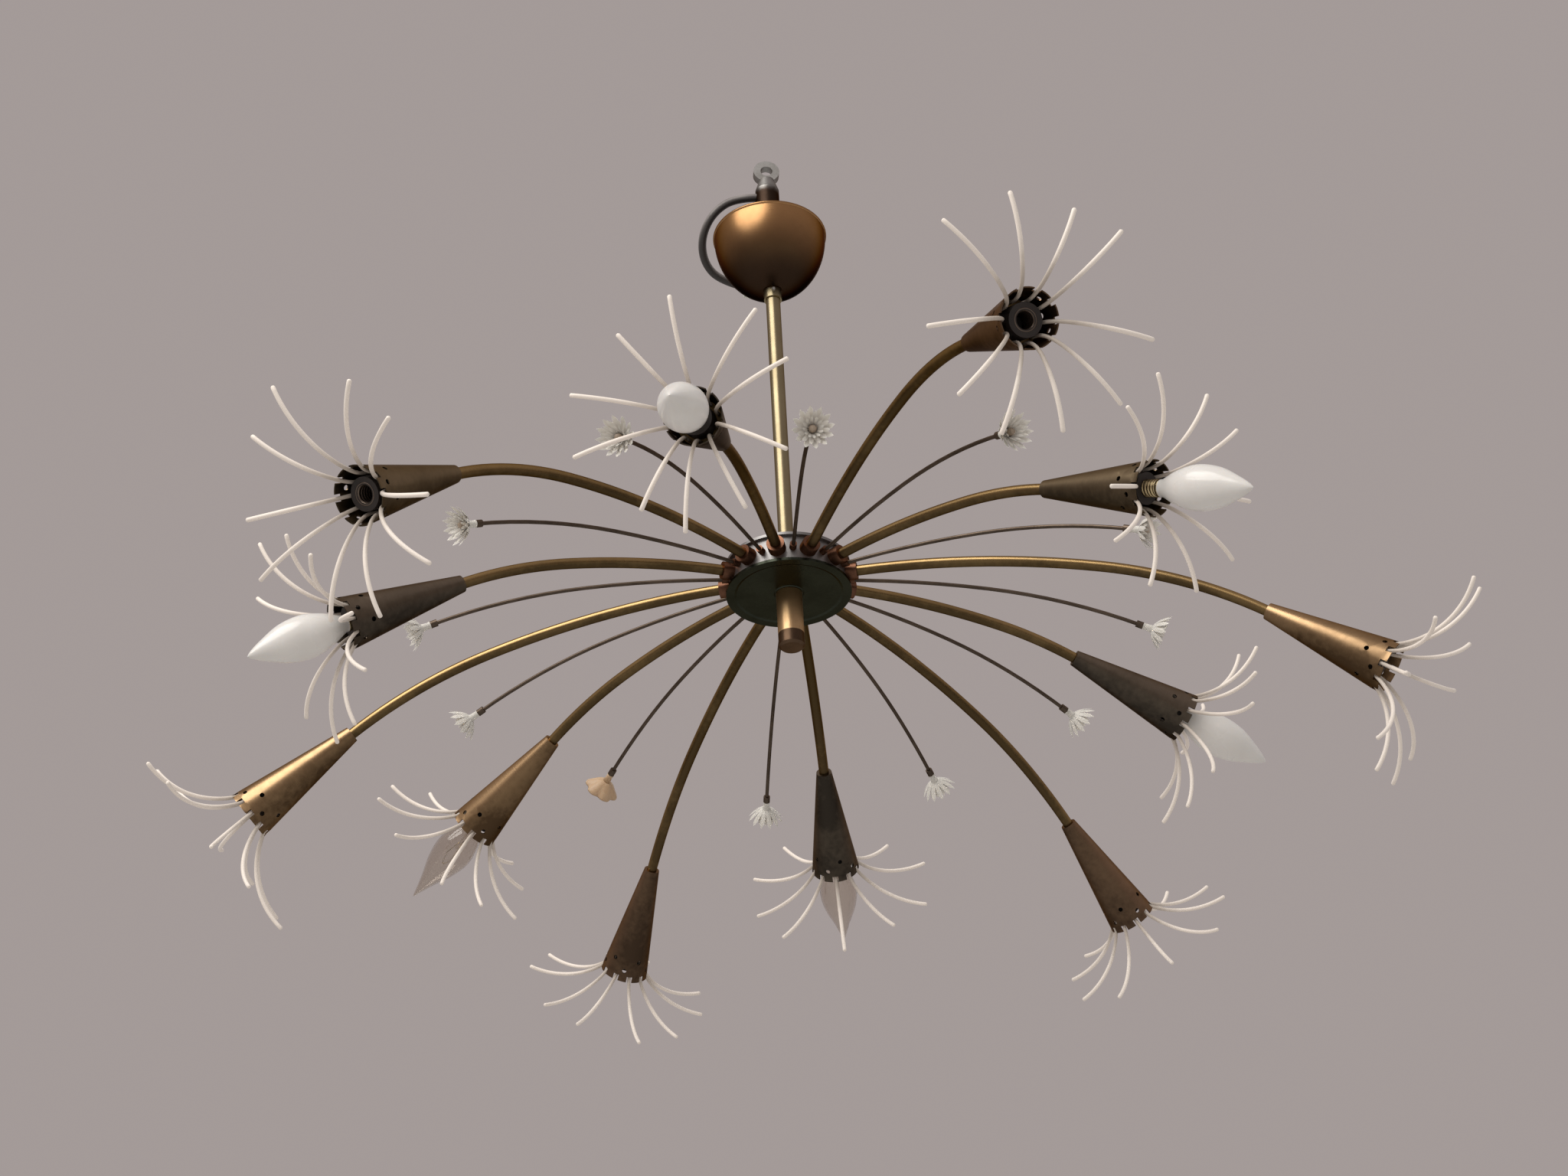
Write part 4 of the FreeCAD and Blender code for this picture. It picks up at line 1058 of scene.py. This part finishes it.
@dataclass
class Sockets:
    """The threaded metal shells in the six empty lampholders, which are on the odd arms."""

    lamps: dict[int, Ray]
    depth: float = 20 * MM
    thread_end: float = -1.5 * MM

    # The lampholder's bore is 6.98 mm in radius, and the shell stands just inside it.
    SCREW = Screw(crest=6.93 * MM, depth=0.7 * MM)
    LIP_MM = ((0.0, -0.6), (0.9, 0.15), (1.6, 0.15), (1.6, 0.02))

    def build(self) -> None:
        """Makes one piece of all the shells."""
        outline = [(self.SCREW.root, self.thread_end)]
        outline += [(self.SCREW.crest + out, height) for out, height in in_metres(self.LIP_MM)]
        shape = bmesh.new()
        for arm, (mouth, axis) in self.lamps.items():
            if arm % 2 == 1:
                place = frame_along(mouth, axis)
                self.SCREW.add(shape, place, -self.depth, self.thread_end)
                lathe(shape, outline, place, sides=36)
        new_piece("socket_shells", shape, SOCKET_METAL.build(), "fixture")


# ---------------- florets
@dataclass
class Florets:
    """Clear starbursts of ribbed pointed petals on the rods, and one amber lobed floret."""

    tips: dict[int, Ray]
    radius: float = 16 * MM
    depth: float = 12 * MM
    foot_length: float = 9 * MM
    foot_radius: float = 3.2 * MM
    foot_bore: float = 1.8 * MM
    foot_gap: float = 0.1 * MM
    foot_waist: float = 2.2 * MM
    wall: float = 1.1 * MM
    petals: int = 12
    petal_steps: int = 6
    petal_end: float = 0.2 * MM
    first_rise: float = 0.25
    roll_step: float = 7.0
    lobed: int = 8
    lobes: int = 6
    lobe_cut: float = 0.16
    lobed_rows: int = 10
    lobed_sides: int = 72

    # The turn in degrees, the size against the whole radius and the lift of each ring of petals.
    RINGS = ((0.0, 1.0, 0.0), (15.0, 0.78, 0.3), (60.0, 0.5, 0.65))

    def build(self) -> None:
        """Makes the clear florets and the amber one."""
        shape = bmesh.new()
        for rod, (tip, axis) in self.tips.items():
            if rod != self.lobed:
                place = frame_along(tip, axis, self.roll_step * rod)
                self.add_foot(shape, place)
                for turn_deg, reach, lift in self.RINGS:
                    self.add_star(shape, place @ Matrix.Rotation(math.radians(turn_deg), 4, "Z"), reach, lift)
        stars = new_piece("floret_stars", shape, FLORET_CLEAR.build(), "fixture",
                          smooth=False)
        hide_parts("florets")
        shape = bmesh.new()
        self.add_lobed(shape, frame_along(*self.tips[self.lobed]))
        new_piece("floret_lobed", shape, FLORET_AMBER.build(), "fixture")

    def add_foot(self, shape: Shape, place: Matrix) -> None:
        """Adds the round foot that sits on the rod's ferrule, narrow at its waist and wide at its top."""
        lathe(shape, [(self.foot_bore, self.foot_gap), (self.foot_radius, self.foot_gap),
                      (self.foot_radius * 0.85, self.foot_waist), (self.foot_radius * 1.1, self.foot_length),
                      (self.foot_bore, self.foot_length)], place, sides=20, closed=True)

    def add_star(self, shape: Shape, place: Matrix, reach: float, lift: float) -> None:
        """Adds one ring of pointed petals, each a thin ribbed blade that curves forward.

        Args:
            shape: the mesh that they go into.
            place: the ring's frame, Z away from the rod.
            reach: the ring's size against the whole radius.
            lift: how much steeper this ring stands.
        """
        inner = self.foot_radius * 0.7
        rise = self.first_rise + lift
        for angle in angles(self.petals):
            turn = place @ Matrix.Rotation(angle, 4, "Z")
            rings = []
            for step in range(self.petal_steps + 1):
                share = step / self.petal_steps
                out = inner + (self.radius * reach - inner) * share
                bow = rise * share + (1 - rise) * share ** 2 * reach
                height = self.foot_length - self.wall + self.depth * bow
                half = math.pi * out / self.petals * (1 - share) ** 0.4 * 1.05 + self.petal_end
                rib = self.wall * (0.9 - 0.5 * share)
                section = ((-half, 0.0), (0.0, rib * 0.55), (half, 0.0), (0.0, rib * -0.45))
                rings.append([shape.verts.new(turn @ Vector((out, side, height + over)))
                              for side, over in section])
            skin(shape, rings, capped=True)

    def add_lobed(self, shape: Shape, place: Matrix) -> None:
        """Adds the floret with broad rounded lobes, as one cupped shell on its foot.

        Args:
            shape: the mesh that it goes into.
            place: the floret's frame, Z away from the rod.
        """
        inner = self.foot_radius * 0.8
        layers = []
        for offset in (0.0, self.wall):
            rings = []
            for row in range(self.lobed_rows + 1):
                share = row / self.lobed_rows
                bow = 0.35 * share + 0.55 * share ** 2
                height = self.foot_length - self.wall + self.depth * bow + offset
                ring = []
                for angle in angles(self.lobed_sides):
                    lobe = 1 - self.lobe_cut * share * (0.5 - 0.5 * math.cos(self.lobes * angle)) ** 2
                    out = (inner + (self.radius - inner) * share) * lobe
                    ring.append(shape.verts.new(place @ on_circle(out, angle, height)))
                rings.append(ring)
            skin(shape, rings)
            layers.append(rings)
        for row in (0, -1):
            skin(shape, [layers[0][row], layers[1][row]])
        self.add_foot(shape, place)


# ---------------- supply cable
@dataclass
class SupplyCable:
    """The sheathed cable from the eye over the canopy's rim, with the connector block on its end."""

    diameter: float = 7.6 * MM
    length: float = 149.5 * MM
    route: tuple[Triple, ...] = (
        (-0.0035, 0, -0.0293), (-0.029, 0, -0.0293), (-0.0504, 0.0082, -0.0405), (-0.0611, 0.025, -0.0563),
        (-0.058, 0.0469, -0.0688), (-0.0422, 0.066, -0.0744), (-0.0182, 0.0747, -0.0749))

    def build(self, block: bpy.types.Object) -> None:
        """Makes the cable.

        Args:
            block: the connector block on its end; not used.
        """
        curve = bpy.data.curves.new("supply_cable_sheath", "CURVE")
        curve.dimensions = "3D"
        curve.bevel_depth = self.diameter / 2
        curve.bevel_resolution = 6
        curve.use_fill_caps = True
        curve.resolution_u = 16
        line = curve.splines.new("NURBS")
        line.points.add(len(self.route) - 1)
        for point, place in zip(line.points, self.route):
            point.co = (*place, 1)
        line.order_u = 3
        line.use_endpoint_u = True
        curve.materials.append(SHEATH.build())
        cable = add_object("supply_cable_sheath", curve)
        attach(cable, "fixture")
        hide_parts("supply_cable")


# ---------------- assembly
def lamp_places(record: dict[str, Any]) -> dict[int, Ray]:
    """The mouth and axis of each lampholder, from the empty sockets' mounts and the bulbs' joints.

    Args:
        record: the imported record.

    Returns:
        Mouth point and axis by arm number.
    """
    places = {}
    for mount in record["mounts"]:
        if mount["name"].startswith("lamp_socket_"):
            axis = Vector(mount["axis"]).normalized()
            half = mount["dims"]["length_mm"] / 2 * MM
            places[int(mount["name"][-2:])] = (Vector(mount["pos_m"]) + axis * half, axis)
    for joint in record["behaviour"]["joints"]:
        if joint["name"].endswith("_screw"):
            places[int(joint["name"][5:7])] = (Vector(joint["pos_m"]), Vector(joint["axis"]).normalized())
    return dict(sorted(places.items()))


@dataclass
class RodLine:
    """The droop of a rod from the hub, which gives the place of its floret."""

    count: int = 12
    level: float = -452 * MM
    start: float = 52 * MM
    gentle_radius: float = 850 * MM
    tight_radius: float = 480 * MM
    set_radius: float = 40 * MM
    lead_in: float = 0.8
    gentle_turn: float = 8.0
    tight_turn: float = 16.0
    first_deg: float = -90.0

    LIFT = {1: -4, 2: 1, 5: 1.7, 7: -1.5, 8: 1}
    SWING = {1: -2, 2: -3, 3: 1, 5: 1, 8: -1.6, 9: 1.4, 12: 1.5}
    NO_TURN = 1e-9

    def tips(self) -> dict[int, Ray]:
        """The end and direction of each rod, under its floret."""
        return {rod: self.tip(rod) for rod in range(1, self.count + 1)}

    def tip(self, rod: int) -> Ray:
        """The end of one rod under its floret.

        Args:
            rod: the rod's number.

        Returns:
            The point and the direction there.
        """
        place, ahead = self.bend(Vector((self.start, 0, 0)), Vector((1, 0, 0)), self.gentle_radius,
                                 self.lead_in, Vector((0, 1, 0)))
        swing = Matrix.Rotation(math.radians(self.SWING.get(rod, 0)), 3, "Z")
        lift = Matrix.Rotation(math.radians(-self.LIFT.get(rod, 0)), 3, "Y")
        target = swing @ (lift @ ahead)
        axis = ahead.cross(target)
        if axis.length > self.NO_TURN:
            degrees = math.degrees(ahead.angle(target))
            place, ahead = self.bend(place, ahead, self.set_radius, degrees, axis.normalized())
        across = swing @ Vector((0, 1, 0))
        place, ahead = self.bend(place, ahead, self.gentle_radius, self.gentle_turn - self.lead_in, across)
        place, ahead = self.bend(place, ahead, self.tight_radius, self.tight_turn, across)
        turn = Matrix.Rotation(math.radians(self.first_deg + 360 / self.count * (rod - 1)), 3, "Z")
        return turn @ place + Vector((0, 0, self.level)), turn @ ahead

    @staticmethod
    def bend(place: Vector, ahead: Vector, radius: float, degrees: float, axis: Vector) -> Ray:
        """Follows one arc.

        Args:
            place: where it starts.
            ahead: the heading there.
            radius: the arc's radius.
            degrees: how far it turns.
            axis: what it turns about.

        Returns:
            The end and the heading there.
        """
        centre = place + axis.cross(ahead) * radius
        turn = Matrix.Rotation(math.radians(degrees), 3, axis)
        return centre + turn @ (place - centre), turn @ ahead


def main() -> None:
    """Builds the studio and every piece."""
    logging.basicConfig(level=logging.INFO, format="%(name)s: %(message)s")
    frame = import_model()
    lamps = lamp_places(frame["record"])
    Studio().build()
    Metalwork(frame["nodes"], lamps).dress_all()
    Stamens(lamps).build()
    Bulbs(lamps).build()
    Sockets(lamps).build()
    Florets(RodLine().tips()).build()
    SupplyCable().build(frame["nodes"]["cable_block"])


if __name__ == "__main__":
    main()
